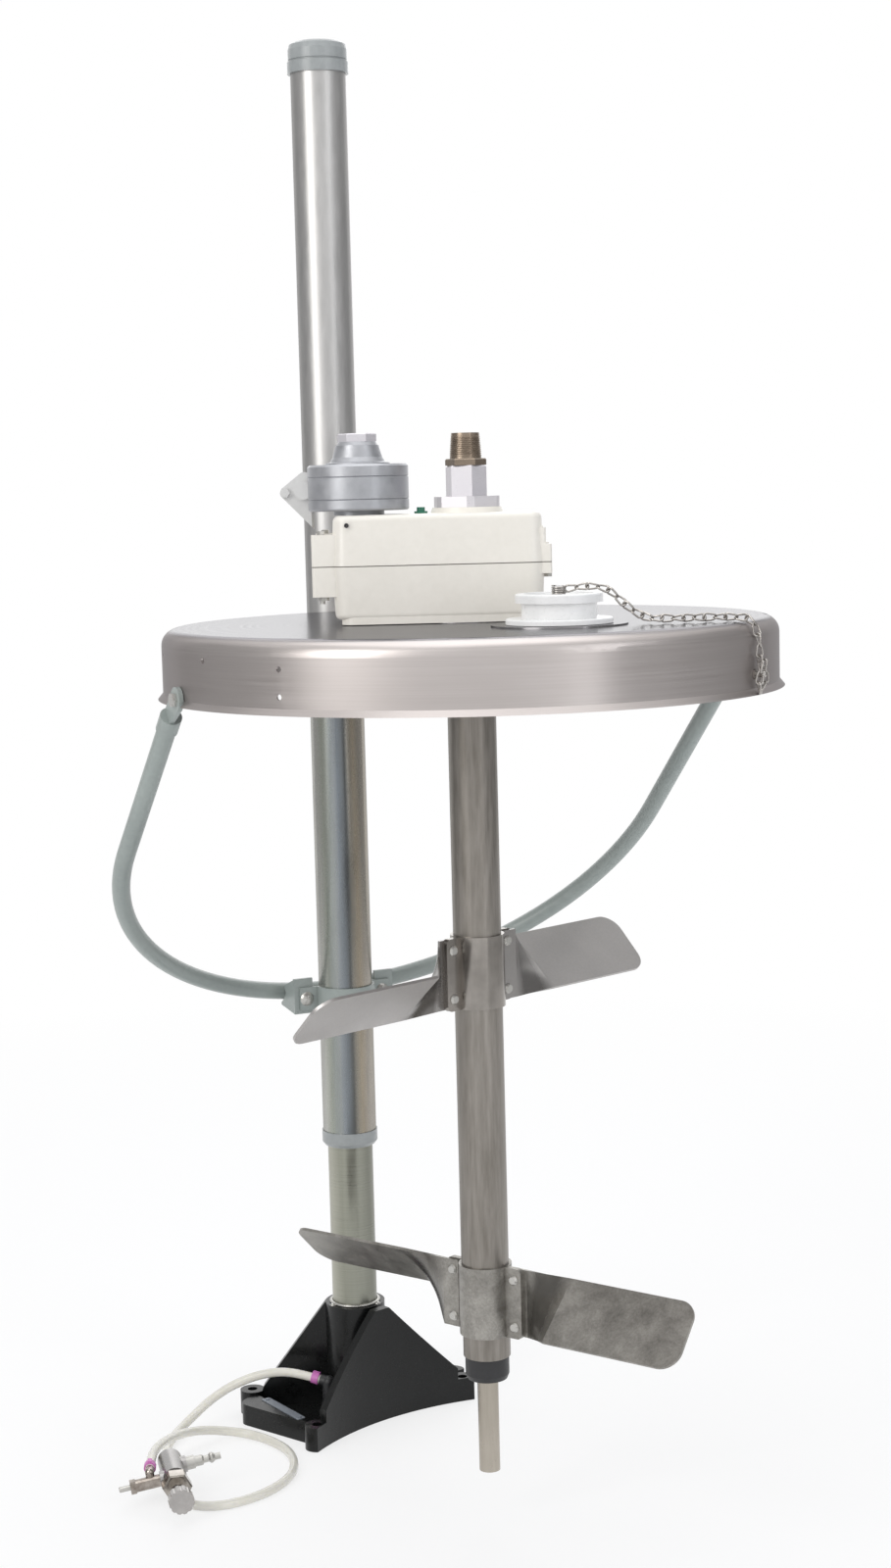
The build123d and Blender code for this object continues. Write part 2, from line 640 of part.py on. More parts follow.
with BuildPart() as drum_cover:
    with BuildSketch(upright(agitator_plane, 0)):
        with BuildLine():
            inner_corner = cover_corner - cover_thickness
            lip = Line((cover_lip_radius, cover_lip_z), (cover_lip_radius - 1.6, cover_lip_z))
            flare_in = Line(lip @ 1, (cover_radius - cover_thickness, cover_lip_z + flare_height))
            wall_in = Line(flare_in @ 1, (cover_radius - cover_thickness, cover_top_z - cover_corner))
            corner_in = RadiusArc(
                wall_in @ 1, (cover_radius - cover_corner, cover_top_z - cover_thickness), -inner_corner)
            top_in = Line(corner_in @ 1, (0, cover_top_z - cover_thickness))
            middle = Line(top_in @ 1, (0, cover_top_z))
            top_out = Line(middle @ 1, (cover_radius - cover_corner, cover_top_z))
            corner_out = RadiusArc(top_out @ 1, (cover_radius, cover_top_z - cover_corner), cover_corner)
            wall_out = Line(corner_out @ 1, (cover_radius, cover_lip_z + flare_height))
            Line(wall_out @ 1, lip @ 0)
        make_face()
    revolve(axis=Axis(agitator_plane.origin, (0, 0, 1)))
    with BuildSketch(level(agitator_plane, cover_top_z - cover_thickness)):
        Circle(doubler_radius)
    extrude(amount=-doubler_thickness)
    with BuildSketch(level(agitator_plane, cover_top_z)):
        Circle(shaft_opening_radius)
        with Locations((bung_local.X, bung_local.Y)):
            Circle(bung_hole_radius)
        with PolarLocations(mount_bolt_circle, 4, start_angle=45):
            Circle(3 + seat_gap)
    extrude(amount=-3 * cover_thickness, mode=Mode.SUBTRACT)
    for angle, height in skirt_holes:
        with BuildSketch(Plane(origin=agitator_plane.origin + Vector(0, 0, height), x_dir=(0, 0, 1),
                               z_dir=(cos(radians(angle)), sin(radians(angle)), 0))):
            Circle(skirt_hole_radius)
        extrude(amount=cover_lip_radius, mode=Mode.SUBTRACT)
    for angle in (90 - saddle_bolt_angle, 90 + saddle_bolt_angle):
        with BuildSketch(Plane(origin=agitator_plane.origin + Vector(0, 0, saddle_bolt_z), x_dir=(0, 0, 1),
                               z_dir=(cos(radians(angle)), sin(radians(angle)), 0))):
            Circle(ear_bolt_radius + seat_gap)
        extrude(amount=cover_lip_radius, mode=Mode.SUBTRACT)
    with BuildSketch(Plane(origin=agitator_plane.origin + Vector(0, 0, brace_bolt_z), x_dir=(0, 1, 0),
                           z_dir=(1, 0, 0))):
        Circle(ear_bolt_radius + seat_gap)
    extrude(amount=cover_lip_radius + 5, both=True, mode=Mode.SUBTRACT)
    for side in (-1, 1):
        with BuildSketch(level(agitator_plane, cover_lip_z)):
            with Locations((side * (ear_plate_x + 5), (ear_notch_back - ear_notch_front) / 2)):
                Rectangle(10.8, ear_notch_front + ear_notch_back)
        extrude(amount=flare_height + 1, mode=Mode.SUBTRACT)
save(drum_cover, "drum_cover")

with BuildPart() as bung_ring:
    with BuildSketch(level(bung_plane, cover_top_z + seat_gap)):
        Circle(bung_ring_radius)
        Circle(bung_hole_radius, mode=Mode.SUBTRACT)
    extrude(amount=bung_ring_height)
save(bung_ring, "bung_ring")

bung_seat = cover_top_z + seat_gap + bung_ring_height
bung_top = bung_seat + bung_flange_height + bung_neck_height + bung_rim_height
eye_radius, eye_wire = 5.0, 1.4

with BuildPart() as bung_plug:
    with BuildSketch(level(bung_plane, bung_seat + 0.3)):
        Circle(bung_flange_radius)
    extrude(amount=bung_flange_height)
    fillet(bung_plug.edges().group_by(Axis.Z)[-1], 1.5)
    with BuildSketch(level(bung_plane, bung_seat + bung_flange_height)):
        Circle(bung_neck_radius)
    extrude(amount=bung_neck_height)
    with BuildSketch(level(bung_plane, bung_top - bung_rim_height)):
        Circle(bung_rim_radius)
    extrude(amount=bung_rim_height)
    fillet(bung_plug.edges().group_by(Axis.Z)[-1], 2)
    with BuildSketch(level(bung_plane, bung_top)):
        Circle(bung_rim_radius - 8)
    extrude(amount=-4, mode=Mode.SUBTRACT)
    with BuildSketch(level(bung_plane, bung_seat + 1)):
        Circle(bung_hole_radius - 0.4)
    extrude(amount=-bung_depth, taper=1)
    with BuildSketch(level(bung_plane, bung_seat + 1 - bung_depth)):
        Circle(bung_hole_radius - 6)
    extrude(amount=bung_depth - 4, mode=Mode.SUBTRACT)
    with BuildSketch(Plane(origin=bung_plane.origin + Vector(0, 0, bung_top - 4 + eye_radius),
                           x_dir=gearbox_plane.x_dir, z_dir=gearbox_plane.y_dir)):
        Circle(eye_radius + eye_wire)
        Circle(eye_radius - eye_wire, mode=Mode.SUBTRACT)
    extrude(amount=eye_wire, both=True)
save(bung_plug, "bung_plug")

# hook on the skirt and the chain that keeps the bung
hook_angle, hook_z = skirt_holes[-1]
hook_plane = upright(agitator_plane, hook_angle, hook_z)

with BuildPart() as chain_hook:
    with BuildSketch(Plane(origin=hook_plane.from_local_coords((cover_radius + seat_gap, 0, 0)),
                           x_dir=(0, 0, 1), z_dir=hook_plane.x_dir)):
        Circle(5)
    extrude(amount=2)
    with BuildSketch(Plane(origin=hook_plane.from_local_coords((cover_radius - 6, 0, 0)),
                           x_dir=(0, 0, 1), z_dir=hook_plane.x_dir)):
        Circle(skirt_hole_radius - seat_gap)
    extrude(amount=16)
    with Locations(hook_plane.from_local_coords((cover_radius + 9, 0, 0))):
        Sphere(3.4)
save(chain_hook, "chain_hook")

chain_radius = 2.8


def on_cover(along, aside, z):
    return gearbox_plane.from_local_coords((along, aside, z))


def on_skirt(out, z, turn=0.0):
    return upright(agitator_plane, hook_angle + turn).from_local_coords((out, z, 0))


chain_route = [
    on_cover(bung_along + 6.8, bung_aside, bung_top + 3.6), on_cover(bung_along + 24, bung_aside - 1, bung_top + 5.5),
    on_cover(bung_along + 45, bung_aside - 4, bung_top + 3), on_cover(bung_along + 60, bung_aside - 6, bung_top - 11),
    on_cover(bung_along + 78, bung_aside - 10, cover_top_z + 4.4),
    on_cover(bung_along + 98, bung_aside - 22, cover_top_z + 3.4),
    on_skirt(277, cover_top_z + 3.5), on_skirt(302, cover_top_z + 2.0), on_skirt(307.5, cover_top_z - 18),
    on_skirt(307, hook_z + 22), on_skirt(309, hook_z + 6.6),
]
with BuildPart() as retaining_chain:
    chain_radii = []
    for before, corner, after in zip(chain_route, chain_route[1:], chain_route[2:]):
        run_in, run_out = corner - before, after - corner
        turn = run_in.get_angle(run_out)
        chain_radii.append(0.45 * min(run_in.length, run_out.length) / tan(radians(turn) / 2))
    with BuildLine() as chain_line:
        FilletPolyline(*chain_route, radius=chain_radii)
    with BuildSketch(along_plane(chain_route[0], (chain_route[1] - chain_route[0]).normalized())):
        Circle(chain_radius)
    sweep(path=chain_line.wires()[0])
chain_length = chain_line.wires()[0].length
print("chain radii", [round(r) for r in chain_radii])
print("chain length", round(chain_length, 1), "volume ratio",
      round(retaining_chain.part.volume / (pi * chain_radius**2 * chain_length), 4))
save(retaining_chain, "retaining_chain")

# ---------------------------------------------------------------- saddle and brace
with BuildPart() as cover_saddle:
    with BuildSketch(level(Plane.XY, saddle_bottom)):
        Circle(lift_radius + saddle_wall)
        with Locations((0, -mast_reach + cover_radius + 8)):
            Rectangle(2 * saddle_wall + 2 * lift_radius - 10, 30)
        with Locations((0, -mast_reach)):
            Circle(cover_radius + seat_gap, mode=Mode.SUBTRACT)
        Circle(lift_radius + seat_gap, mode=Mode.SUBTRACT)
    extrude(amount=saddle_top - saddle_bottom)
    with BuildSketch(level(Plane.XY, saddle_bottom)):
        with Locations((0, -mast_reach)):
            Circle(cover_radius + saddle_wall)
            Circle(cover_radius + seat_gap, mode=Mode.SUBTRACT)
        with Locations((0, -mast_reach + cover_radius)):
            Rectangle(2 * saddle_pad_half, 30, mode=Mode.INTERSECT)
        Circle(lift_radius + seat_gap, mode=Mode.SUBTRACT)
    extrude(amount=saddle_top - saddle_bottom)
    for angle in (90 - saddle_bolt_angle, 90 + saddle_bolt_angle):
        with BuildSketch(Plane(origin=agitator_plane.origin + Vector(0, 0, saddle_bolt_z), x_dir=(0, 0, 1),
                               z_dir=(cos(radians(angle)), sin(radians(angle)), 0))):
            Circle(ear_bolt_radius + seat_gap)
        extrude(amount=cover_radius + 10, mode=Mode.SUBTRACT)
save(cover_saddle, "cover_saddle")

with BuildPart() as saddle_bolts:
    for angle in (90 - saddle_bolt_angle, 90 + saddle_bolt_angle):
        out = Vector(cos(radians(angle)), sin(radians(angle)), 0)
        seat = Plane(origin=agitator_plane.origin + Vector(0, 0, saddle_bolt_z)
                     + out * (cover_radius - cover_thickness - 0.15), x_dir=(0, 0, 1), z_dir=-out)
        add(hex_bolt(ear_bolt_radius, 13, 7.0, 4.5, cover_thickness + saddle_wall + 0.4).moved(
            seat.location))
save(saddle_bolts, "saddle_bolts")

slope = radians(brace_slope)
brace_plane = Plane(
    origin=(0, -mast_reach, brace_start_z), x_dir=(1, 0, 0), z_dir=(0, sin(slope), cos(slope))
)

with BuildPart() as brace_hoop:
    with BuildLine(brace_plane) as hoop_line:
        left_leg = Line((-brace_x, brace_leg_start), (-brace_x, brace_leg_end))
        bend = RadiusArc(left_leg @ 1, (brace_x, brace_leg_end), brace_x)
        Line(bend @ 1, (brace_x, brace_leg_start))
    with BuildSketch(Plane(origin=brace_plane.from_local_coords((-brace_x, brace_leg_start, 0)),
                           x_dir=(1, 0, 0), z_dir=brace_plane.y_dir)):
        Circle(brace_tube_radius)
        Circle(brace_tube_bore, mode=Mode.SUBTRACT)
    sweep(path=hoop_line.wires()[0])
save(brace_hoop, "brace_hoop")

sleeve_start, sleeve_length = 34.0, 20.0

with BuildPart() as brace_ears:
    for side in (-1, 1):
        sleeve_plane = Plane(origin=brace_plane.from_local_coords((side * brace_x, sleeve_start, 0)),
                             x_dir=(1, 0, 0), z_dir=brace_plane.y_dir)
        with BuildSketch(sleeve_plane):
            Circle(brace_tube_radius + 1.3)
        extrude(amount=sleeve_length)
        with BuildSketch(Plane(origin=(side * ear_plate_x, -mast_reach, brace_bolt_z), x_dir=(0, 1, 0),
                               z_dir=(side, 0, 0))):
            # the tang's outline: round the bolt, running into the sleeve
            sleeve_y, sleeve_z = cos(slope) * sleeve_start, brace_start_z - sin(slope) * sleeve_start
            Circle(ear_plate_width / 2)
            with Locations((sleeve_y, side * (sleeve_z - brace_bolt_z))):
                Circle(8.5)
            make_hull()
            Circle(ear_bolt_radius + seat_gap, mode=Mode.SUBTRACT)
        extrude(amount=ear_plate_thickness)
        with BuildSketch(sleeve_plane.offset(brace_leg_start - sleeve_start - 0.1)):
            Circle(brace_tube_radius + seat_gap)
        extrude(amount=2 * sleeve_length, mode=Mode.SUBTRACT)
save(brace_ears, "brace_ears")

with BuildPart() as brace_bolts:
    for side in (-1, 1):
        seat = Plane(origin=(side * (ear_plate_x + ear_plate_thickness + seat_gap), -mast_reach, brace_bolt_z),
                     x_dir=(0, 1, 0), z_dir=(side, 0, 0))
        add(hex_bolt(ear_bolt_radius, 15, 7.0, 4.5, ear_plate_thickness + cover_thickness + 0.6).moved(
            seat.location))
save(brace_bolts, "brace_bolts")

# brackets and strap that tie the brace to the lift tube
hoop_rear = brace_plane.from_local_coords((0, brace_leg_end + brace_x, 0))
bracket_z = (bracket_bottom + bracket_top) / 2

with BuildPart() as brace_brackets:
    for side in (-1, 1):
        with BuildSketch(Plane(origin=(0, bracket_front_y, 0), x_dir=(1, 0, 0), z_dir=(0, -1, 0))):
            with Locations((side * (strap_bolt_x + 3), bracket_z)):
                Rectangle(22, bracket_top - bracket_bottom)
            with Locations((side * strap_bolt_x, strap_bolt_z)):
                Circle(ear_bolt_radius + seat_gap, mode=Mode.SUBTRACT)
        extrude(amount=-bracket_plate)
        with BuildSketch(Plane(origin=(side * (strap_bolt_x + 14), 0, 0), x_dir=(0, 1, 0),
                               z_dir=(side, 0, 0))):
            low, high = side * bracket_bottom, side * bracket_top
            Polygon(
                (bracket_front_y, low), (hoop_rear.Y - 3, side * (hoop_rear.Z - 12)),
                (hoop_rear.Y - 3, side * (hoop_rear.Z + 8)), (bracket_front_y, high), align=None,
            )
        extrude(amount=-bracket_plate)
        with BuildSketch(Plane(origin=brace_plane.from_local_coords((0, brace_leg_end, 0)),
                               x_dir=(1, 0, 0), z_dir=brace_plane.z_dir)):
            Circle(brace_x + brace_tube_radius + seat_gap)
            Circle(brace_x - brace_tube_radius - seat_gap, mode=Mode.SUBTRACT)
        extrude(amount=brace_tube_radius + seat_gap, both=True, mode=Mode.SUBTRACT)
save(brace_brackets, "brace_brackets")

with BuildPart() as brace_strap:
    strap_inner = lift_radius + seat_gap
    with BuildSketch(level(Plane.XY, strap_bottom)):
        Circle(strap_inner + strap_thickness)
        with Locations((0, bracket_front_y - seat_gap - strap_thickness / 2)):
            Rectangle(2 * (strap_bolt_x + 8), strap_thickness)
        Circle(strap_inner, mode=Mode.SUBTRACT)
        with Locations((0, bracket_front_y - seat_gap + 50)):
            Rectangle(200, 100, mode=Mode.SUBTRACT)
    extrude(amount=strap_top - strap_bottom)
    with BuildSketch(Plane(origin=(0, bracket_front_y, 0), x_dir=(1, 0, 0), z_dir=(0, -1, 0))):
        with Locations((-strap_bolt_x, strap_bolt_z), (strap_bolt_x, strap_bolt_z)):
            Circle(ear_bolt_radius + seat_gap)
    extrude(amount=10, mode=Mode.SUBTRACT)
save(brace_strap, "brace_strap")

with BuildPart() as strap_bolts:
    for side in (-1, 1):
        seat = Plane(origin=(side * strap_bolt_x, bracket_front_y - strap_thickness - 2 * seat_gap, strap_bolt_z),
                     x_dir=(1, 0, 0), z_dir=(0, -1, 0))
        add(round_bolt(ear_bolt_radius, strap_thickness + bracket_plate + 9, 8.0, 4.0).moved(seat.location))
        with BuildSketch(Plane(origin=(side * strap_bolt_x, bracket_front_y + bracket_plate + seat_gap,
                                       strap_bolt_z), x_dir=(1, 0, 0), z_dir=(0, 1, 0))):
            RegularPolygon(7.0, 6)
        extrude(amount=6)
save(strap_bolts, "strap_bolts")

# ---------------------------------------------------------------- agitator
def set_location(height, angle, flip=False):
    """Where a blade or clamp goes, from its own frame: local X along the blade, Z up."""
    turn = (180.0, 0.0, angle) if flip else (0.0, 0.0, angle)
    spot = agitator_plane.origin + Vector(0, 0, height)
    return Location(spot, (0, 0, angle)) * Location((0, 0, 0), (turn[0], 0, 0))


with BuildPart() as agitator_tube:
    with BuildSketch(level(agitator_plane, shaft_bottom)):
        Circle(shaft_radius)
        Circle(shaft_bore, mode=Mode.SUBTRACT)
    extrude(amount=shaft_top - shaft_bottom)
    chamfer(agitator_tube.edges().group_by(Axis.Z)[-1].sort_by(SortBy.LENGTH)[-1], 0.8)
save(agitator_tube, "agitator_tube")

with BuildPart() as bottom_bushing:
    with BuildSketch(Plane(origin=agitator_plane.origin, x_dir=(1, 0, 0), z_dir=(0, -1, 0))):
        Polygon(
            (siphon_radius + running_gap, bushing_bottom), (bushing_radius - 2, bushing_bottom),
            (bushing_radius, bushing_bottom + 5), (bushing_radius, shaft_bottom - seat_gap),
            (shaft_bore - seat_gap, shaft_bottom - seat_gap), (shaft_bore - seat_gap, shaft_bottom + 26),
            (siphon_radius + running_gap, shaft_bottom + 26), align=None,
        )
    revolve(axis=Axis(agitator_plane.origin, (0, 0, 1)))
save(bottom_bushing, "bottom_bushing")

rivet_radius = 2.9
blade_face = -(clamp_thickness + 0.1)           # the face the blade lies on, across the flange
blade_middle = blade_face - blade_thickness / 2 - seat_gap
tip_corner = 20.0

with BuildPart() as clamp:
    with BuildSketch(Plane.XY.offset(-clamp_height / 2)):
        Circle(shaft_radius + clamp_thickness)
        Rectangle(2 * flange_reach, 2 * clamp_thickness + 0.2)
        Circle(shaft_radius + seat_gap, mode=Mode.SUBTRACT)
        Rectangle(2 * flange_reach + 4, 0.2, mode=Mode.SUBTRACT)
    extrude(amount=clamp_height)
    fillet(clamp.edges().filter_by(Axis.Y).filter_by(lambda edge: abs(edge.center().X) > flange_reach - 1), 6)
    with BuildSketch(Plane.XZ):
        with GridLocations(2 * rivet_reach, 2 * rivet_rise, 2, 2):
            Circle(rivet_radius + seat_gap)
    extrude(amount=20, both=True, mode=Mode.SUBTRACT)

pitch_out, pitch_up = cos(radians(blade_pitch)), sin(radians(blade_pitch))
root_inner = sqrt((shaft_radius + clamp_thickness) ** 2 - blade_face**2) + 3


with BuildPart() as blade:
    # root: flat against the clamp's flange
    with BuildSketch(Plane(origin=(0, blade_middle, 0), x_dir=(1, 0, 0), z_dir=(0, -1, 0))):
        with Locations(((root_inner + twist_start) / 2, 0)):
            Rectangle(twist_start - root_inner, 2 * blade_half_height)
        with Locations((rivet_reach, rivet_rise), (rivet_reach, -rivet_rise)):
            Circle(rivet_radius + seat_gap, mode=Mode.SUBTRACT)
    extrude(amount=blade_thickness / 2, both=True)
    # twist: from the upright root to the pitched panel, the lower edge staying straight
    with BuildSketch(Plane(origin=(twist_start, blade_middle, 0), x_dir=(0, 1, 0), z_dir=(1, 0, 0))) as upright_end:
        Rectangle(blade_thickness, 2 * blade_half_height)
    with BuildSketch(Plane(
            origin=(twist_end, blade_middle + pitch_out * blade_chord / 2,
                    pitch_up * blade_chord / 2 - blade_half_height),
            x_dir=(0, pitch_up, -pitch_out), z_dir=(1, 0, 0))) as pitched_end:
        Rectangle(blade_thickness, blade_chord)
    loft(sections=[upright_end.sketch, pitched_end.sketch], ruled=False)
    # pitched panel, with rounded tip corners
    with BuildSketch(Plane(origin=(0, blade_middle, -blade_half_height), x_dir=(1, 0, 0),
                           z_dir=(0, -pitch_up, pitch_out))):
        Polygon(
            (twist_end, 0), (blade_tip_bottom, 0), (blade_tip_top, blade_chord),
            (twist_end, blade_chord), align=None,
        )
        fillet(vertices().sort_by(Axis.X)[-2:], tip_corner)
    extrude(amount=blade_thickness / 2, both=True)

with BuildPart() as rivet:
    with BuildSketch(Plane.XY):
        with BuildLine():
            grip = 2 * clamp_thickness + 0.2 + blade_thickness + 2 * seat_gap
            Polyline((0, -2.4), (rivet_radius + 0.8, -2.4), (rivet_radius + 2.4, -0.6), (rivet_radius + 2.4, 0),
                     (rivet_radius, 0), (rivet_radius, grip), (rivet_radius + 2.4, grip),
                     (rivet_radius + 2.4, grip + 0.6), (rivet_radius + 0.8, grip + 2.4), (0, grip + 2.4),
                     close=True)
        make_face()
    revolve(axis=Axis.Y)

blade_sets = [(upper_set_z, upper_set_angle, False), (lower_set_z, lower_set_angle, True)]
for (set_z, set_angle, flip), clamp_name, blade_name in zip(
        blade_sets, ("clamp_upper", "clamp_lower"), ("upper_blades", "lower_blades")):
    with BuildPart() as placed_clamp:
        add(clamp.part.moved(set_location(set_z, set_angle, flip)))
    save(placed_clamp, clamp_name)
    with BuildPart() as placed_blades:
        for turn in (0, 180):
            add(blade.part.moved(set_location(set_z, set_angle + turn, flip)))
    save(placed_blades, blade_name)

with BuildPart() as blade_rivets:
    rivet_foot = blade_middle - blade_thickness / 2 - seat_gap
    for set_z, set_angle, flip in blade_sets:
        for turn in (0, 180):
            for rise in (-rivet_rise, rivet_rise):
                spot = set_location(set_z, set_angle + turn, flip) * Location((rivet_reach, rivet_foot, rise))
                add(rivet.part.moved(spot))
save(blade_rivets, "blade_rivets")

siphon_top = outlet_boss_top + nut_height + coupling_height - 1
with BuildPart() as siphon_tube:
    with BuildSketch(level(agitator_plane, siphon_bottom)):
        Circle(siphon_radius)
        Circle(siphon_bore, mode=Mode.SUBTRACT)
    extrude(amount=siphon_top - siphon_bottom)
save(siphon_tube, "siphon_tube")

# ---------------------------------------------------------------- gear train
output_pitch = output_module * (output_teeth + idler_pinion_teeth) / 2      # centre distances
input_pitch = input_module * (idler_wheel_teeth + motor_pinion_teeth) / 2
idler_along = -(output_pitch**2 - input_pitch**2 + motor_offset**2) / (2 * motor_offset)
idler_aside = sqrt(output_pitch**2 - idler_along**2)
idler_plane = Plane(
    origin=gearbox_plane.from_local_coords((idler_along, idler_aside, 0)), x_dir=gearbox_plane.x_dir
)
output_to_idler = atan2(idler_aside, idler_along)               # directions in the gearbox's plane
motor_to_idler = atan2(idler_aside, idler_along + motor_offset)
key_half, key_depth = 3.0, 3.0

with BuildPart() as output_gear:
    add_gear(level(gearbox_plane, output_gear_z), output_module, output_teeth, output_to_idler,
             output_gear_face, shaft_radius + seat_gap)
    with BuildSketch(level(gearbox_plane, output_gear_z)):
        Circle(shaft_radius + 7)
        Circle(shaft_radius + seat_gap, mode=Mode.SUBTRACT)
    extrude(amount=-5)
save(output_gear, "output_gear")

with BuildPart() as idler_gear:
    with BuildSketch(level(idler_plane, box_bottom + 14)):
        Circle(idler_shaft_radius)
    extrude(amount=box_top - box_bottom - 29)
    # a tooth gap faces the output gear; the wheel's gap faces the motor pinion's tooth
    add_gear(level(idler_plane, output_gear_z), output_module, idler_pinion_teeth,
             output_to_idler + pi + pi / idler_pinion_teeth, output_gear_face, 0)
    add_gear(level(idler_plane, input_gear_z), input_module, idler_wheel_teeth,
             motor_to_idler + pi + pi / idler_wheel_teeth, input_gear_face, 0)
    with BuildSketch(level(idler_plane, output_gear_z + output_gear_face)):
        Circle(idler_shaft_radius + 4)
    extrude(amount=input_gear_z - output_gear_z - output_gear_face)
save(idler_gear, "idler_gear")

rotor_bottom, rotor_top = motor_seam_low + 1, motor_seam_high - 1
with BuildPart() as motor_rotor:
    with BuildSketch(level(motor_plane, box_bottom + 22)):
        Circle(motor_shaft_radius)
    extrude(amount=rotor_top + 7 - box_bottom - 22)
    add_gear(level(motor_plane, input_gear_z), input_module, motor_pinion_teeth, motor_to_idler,
             input_gear_face, 0)
    with BuildSketch(level(motor_plane, rotor_bottom)):
        Circle(rotor_radius)
        with PolarLocations(vane_reach / 2, vane_count):
            Rectangle(vane_reach, vane_thickness)
    extrude(amount=rotor_top - rotor_bottom)
save(motor_rotor, "motor_rotor")

with BuildPart() as output_bearings:
    with BuildSketch(level(gearbox_plane, bearing_bottom)):
        Circle(bearing_radius)
        Circle(shaft_radius + running_gap, mode=Mode.SUBTRACT)
    extrude(amount=bearing_top - bearing_bottom)
    with BuildSketch(level(gearbox_plane, bearing_top)):
        Circle((bearing_radius + shaft_radius) / 2 + 3)
        Circle((bearing_radius + shaft_radius) / 2 - 3, mode=Mode.SUBTRACT)
    extrude(amount=-1, mode=Mode.SUBTRACT)
save(output_bearings, "output_bearings")

# ---------------------------------------------------------------- gearbox
seam_low, seam_high = box_seam - gasket_thickness / 2, box_seam + gasket_thickness / 2
box_length, box_middle = box_right - box_left, (box_right + box_left) / 2
box_draft = 3.0
inner_ceiling, inner_floor = box_top - box_wall - 1, box_bottom + box_wall + 1
box_bolt_radius = 2.5
left_bolt, right_bolt = left_ear_end + 9, right_ear_end - 3.8
bolt_spots = [(along, aside) for along in (left_bolt, right_bolt) for aside in (-ear_offset, ear_offset)]


def box_profile(inset=0.0):
    """Outline of the gearbox at its seam."""
    with Locations((box_middle, 0)):
        RectangleRounded(box_length - 2 * inset, 2 * box_half_width - 2 * inset, max(box_corner - inset, 4))


def box_ears(end, wall):
    """A pair of bolting ears in plan, front and back, from the wall out to the end."""
    for aside in (-ear_offset, ear_offset):
        with Locations(((end + wall) / 2, aside)):
            RectangleRounded(abs(end - wall), 2 * ear_half_width, 3)


def add_ears(end, wall, start, height):
    with BuildSketch(level(gearbox_plane, start)) as ears:
        box_ears(end, wall)
    extrude(ears.sketch, amount=height)


def cut_bolt_holes():
    with BuildSketch(level(gearbox_plane, box_bottom)) as holes:
        with Locations(*[(left_bolt, aside) for aside in (-ear_offset, ear_offset)]):
            Circle(box_bolt_radius + seat_gap)
    extrude(holes.sketch, amount=box_top - box_bottom, mode=Mode.SUBTRACT)
    with BuildSketch(level(gearbox_plane, box_bottom)) as blind_holes:
        with Locations(*[(right_bolt, aside) for aside in (-ear_offset, ear_offset)]):
            Circle(box_bolt_radius + seat_gap)
    extrude(blind_holes.sketch, amount=right_ear_step - 2 - box_bottom, mode=Mode.SUBTRACT)


def box_side(toward_top, height):
    with BuildSketch(level(gearbox_plane, seam_high if toward_top else seam_low)) as side:
        box_profile()
    extrude(side.sketch, amount=height if toward_top else -height, taper=box_draft)


with BuildPart() as gearbox_pad:
    with BuildSketch(level(gearbox_plane, cover_top_z + seat_gap)):
        Circle(pad_radius)
        Circle(shaft_opening_radius, mode=Mode.SUBTRACT)
        with PolarLocations(mount_bolt_circle, 4, start_angle=45 - gearbox_turn):
            Circle(3 + seat_gap, mode=Mode.SUBTRACT)
    extrude(amount=box_bottom - cover_top_z - 2 * seat_gap)
save(gearbox_pad, "gearbox_pad")

with BuildPart() as gearbox_lower:
    box_side(False, seam_low - box_bottom)
    fillet(gearbox_lower.edges().group_by(Axis.Z)[0], 5)
    add_ears(left_ear_end, box_left + 12, seam_low, left_ear_bottom - seam_low)
    add_ears(right_ear_end, box_right - 12, seam_low, right_ear_bottom - seam_low)
    with BuildSketch(level(gearbox_plane, seam_low)):
        box_profile(box_wall)
    extrude(amount=-(seam_low - inner_floor), taper=box_draft, mode=Mode.SUBTRACT)
    with BuildSketch(level(gearbox_plane, box_bottom)):
        Circle(bearing_radius + 6)
    extrude(amount=bearing_top - box_bottom)
    with BuildSketch(level(gearbox_plane, bearing_bottom)):
        Circle(bearing_radius + seat_gap)
    extrude(amount=bearing_top - bearing_bottom, mode=Mode.SUBTRACT)
    with BuildSketch(level(gearbox_plane, box_bottom)):
        Circle(shaft_opening_radius)
    extrude(amount=bearing_top - box_bottom, mode=Mode.SUBTRACT)
    with BuildSketch(level(idler_plane, box_bottom + 4)):
        Circle(idler_shaft_radius + 4)
    extrude(amount=box_wall + 18)
    with BuildSketch(level(motor_plane, box_bottom + 4)):
        Circle(motor_shaft_radius + 4)
    extrude(amount=box_wall + 32)
    with BuildSketch(level(gearbox_plane, box_bottom)):
        Circle(bearing_radius + seat_gap)
    extrude(amount=0.01)
    with BuildSketch(level(idler_plane, box_bottom + 13)):
        Circle(idler_shaft_radius + running_gap)
    extrude(amount=30, mode=Mode.SUBTRACT)
    with BuildSketch(level(motor_plane, box_bottom + 21)):
        Circle(motor_shaft_radius + running_gap)
    extrude(amount=30, mode=Mode.SUBTRACT)
    with BuildSketch(level(agitator_plane, box_bottom)):
        Circle(shaft_opening_radius)
    extrude(amount=bearing_bottom - box_bottom, mode=Mode.SUBTRACT)
    with BuildSketch(level(agitator_plane, box_bottom)):
        with PolarLocations(mount_bolt_circle, 4, start_angle=45):
            Circle(3 + seat_gap)
    extrude(amount=6.2, mode=Mode.SUBTRACT)
    cut_bolt_holes()
save(gearbox_lower, "gearbox_lower")

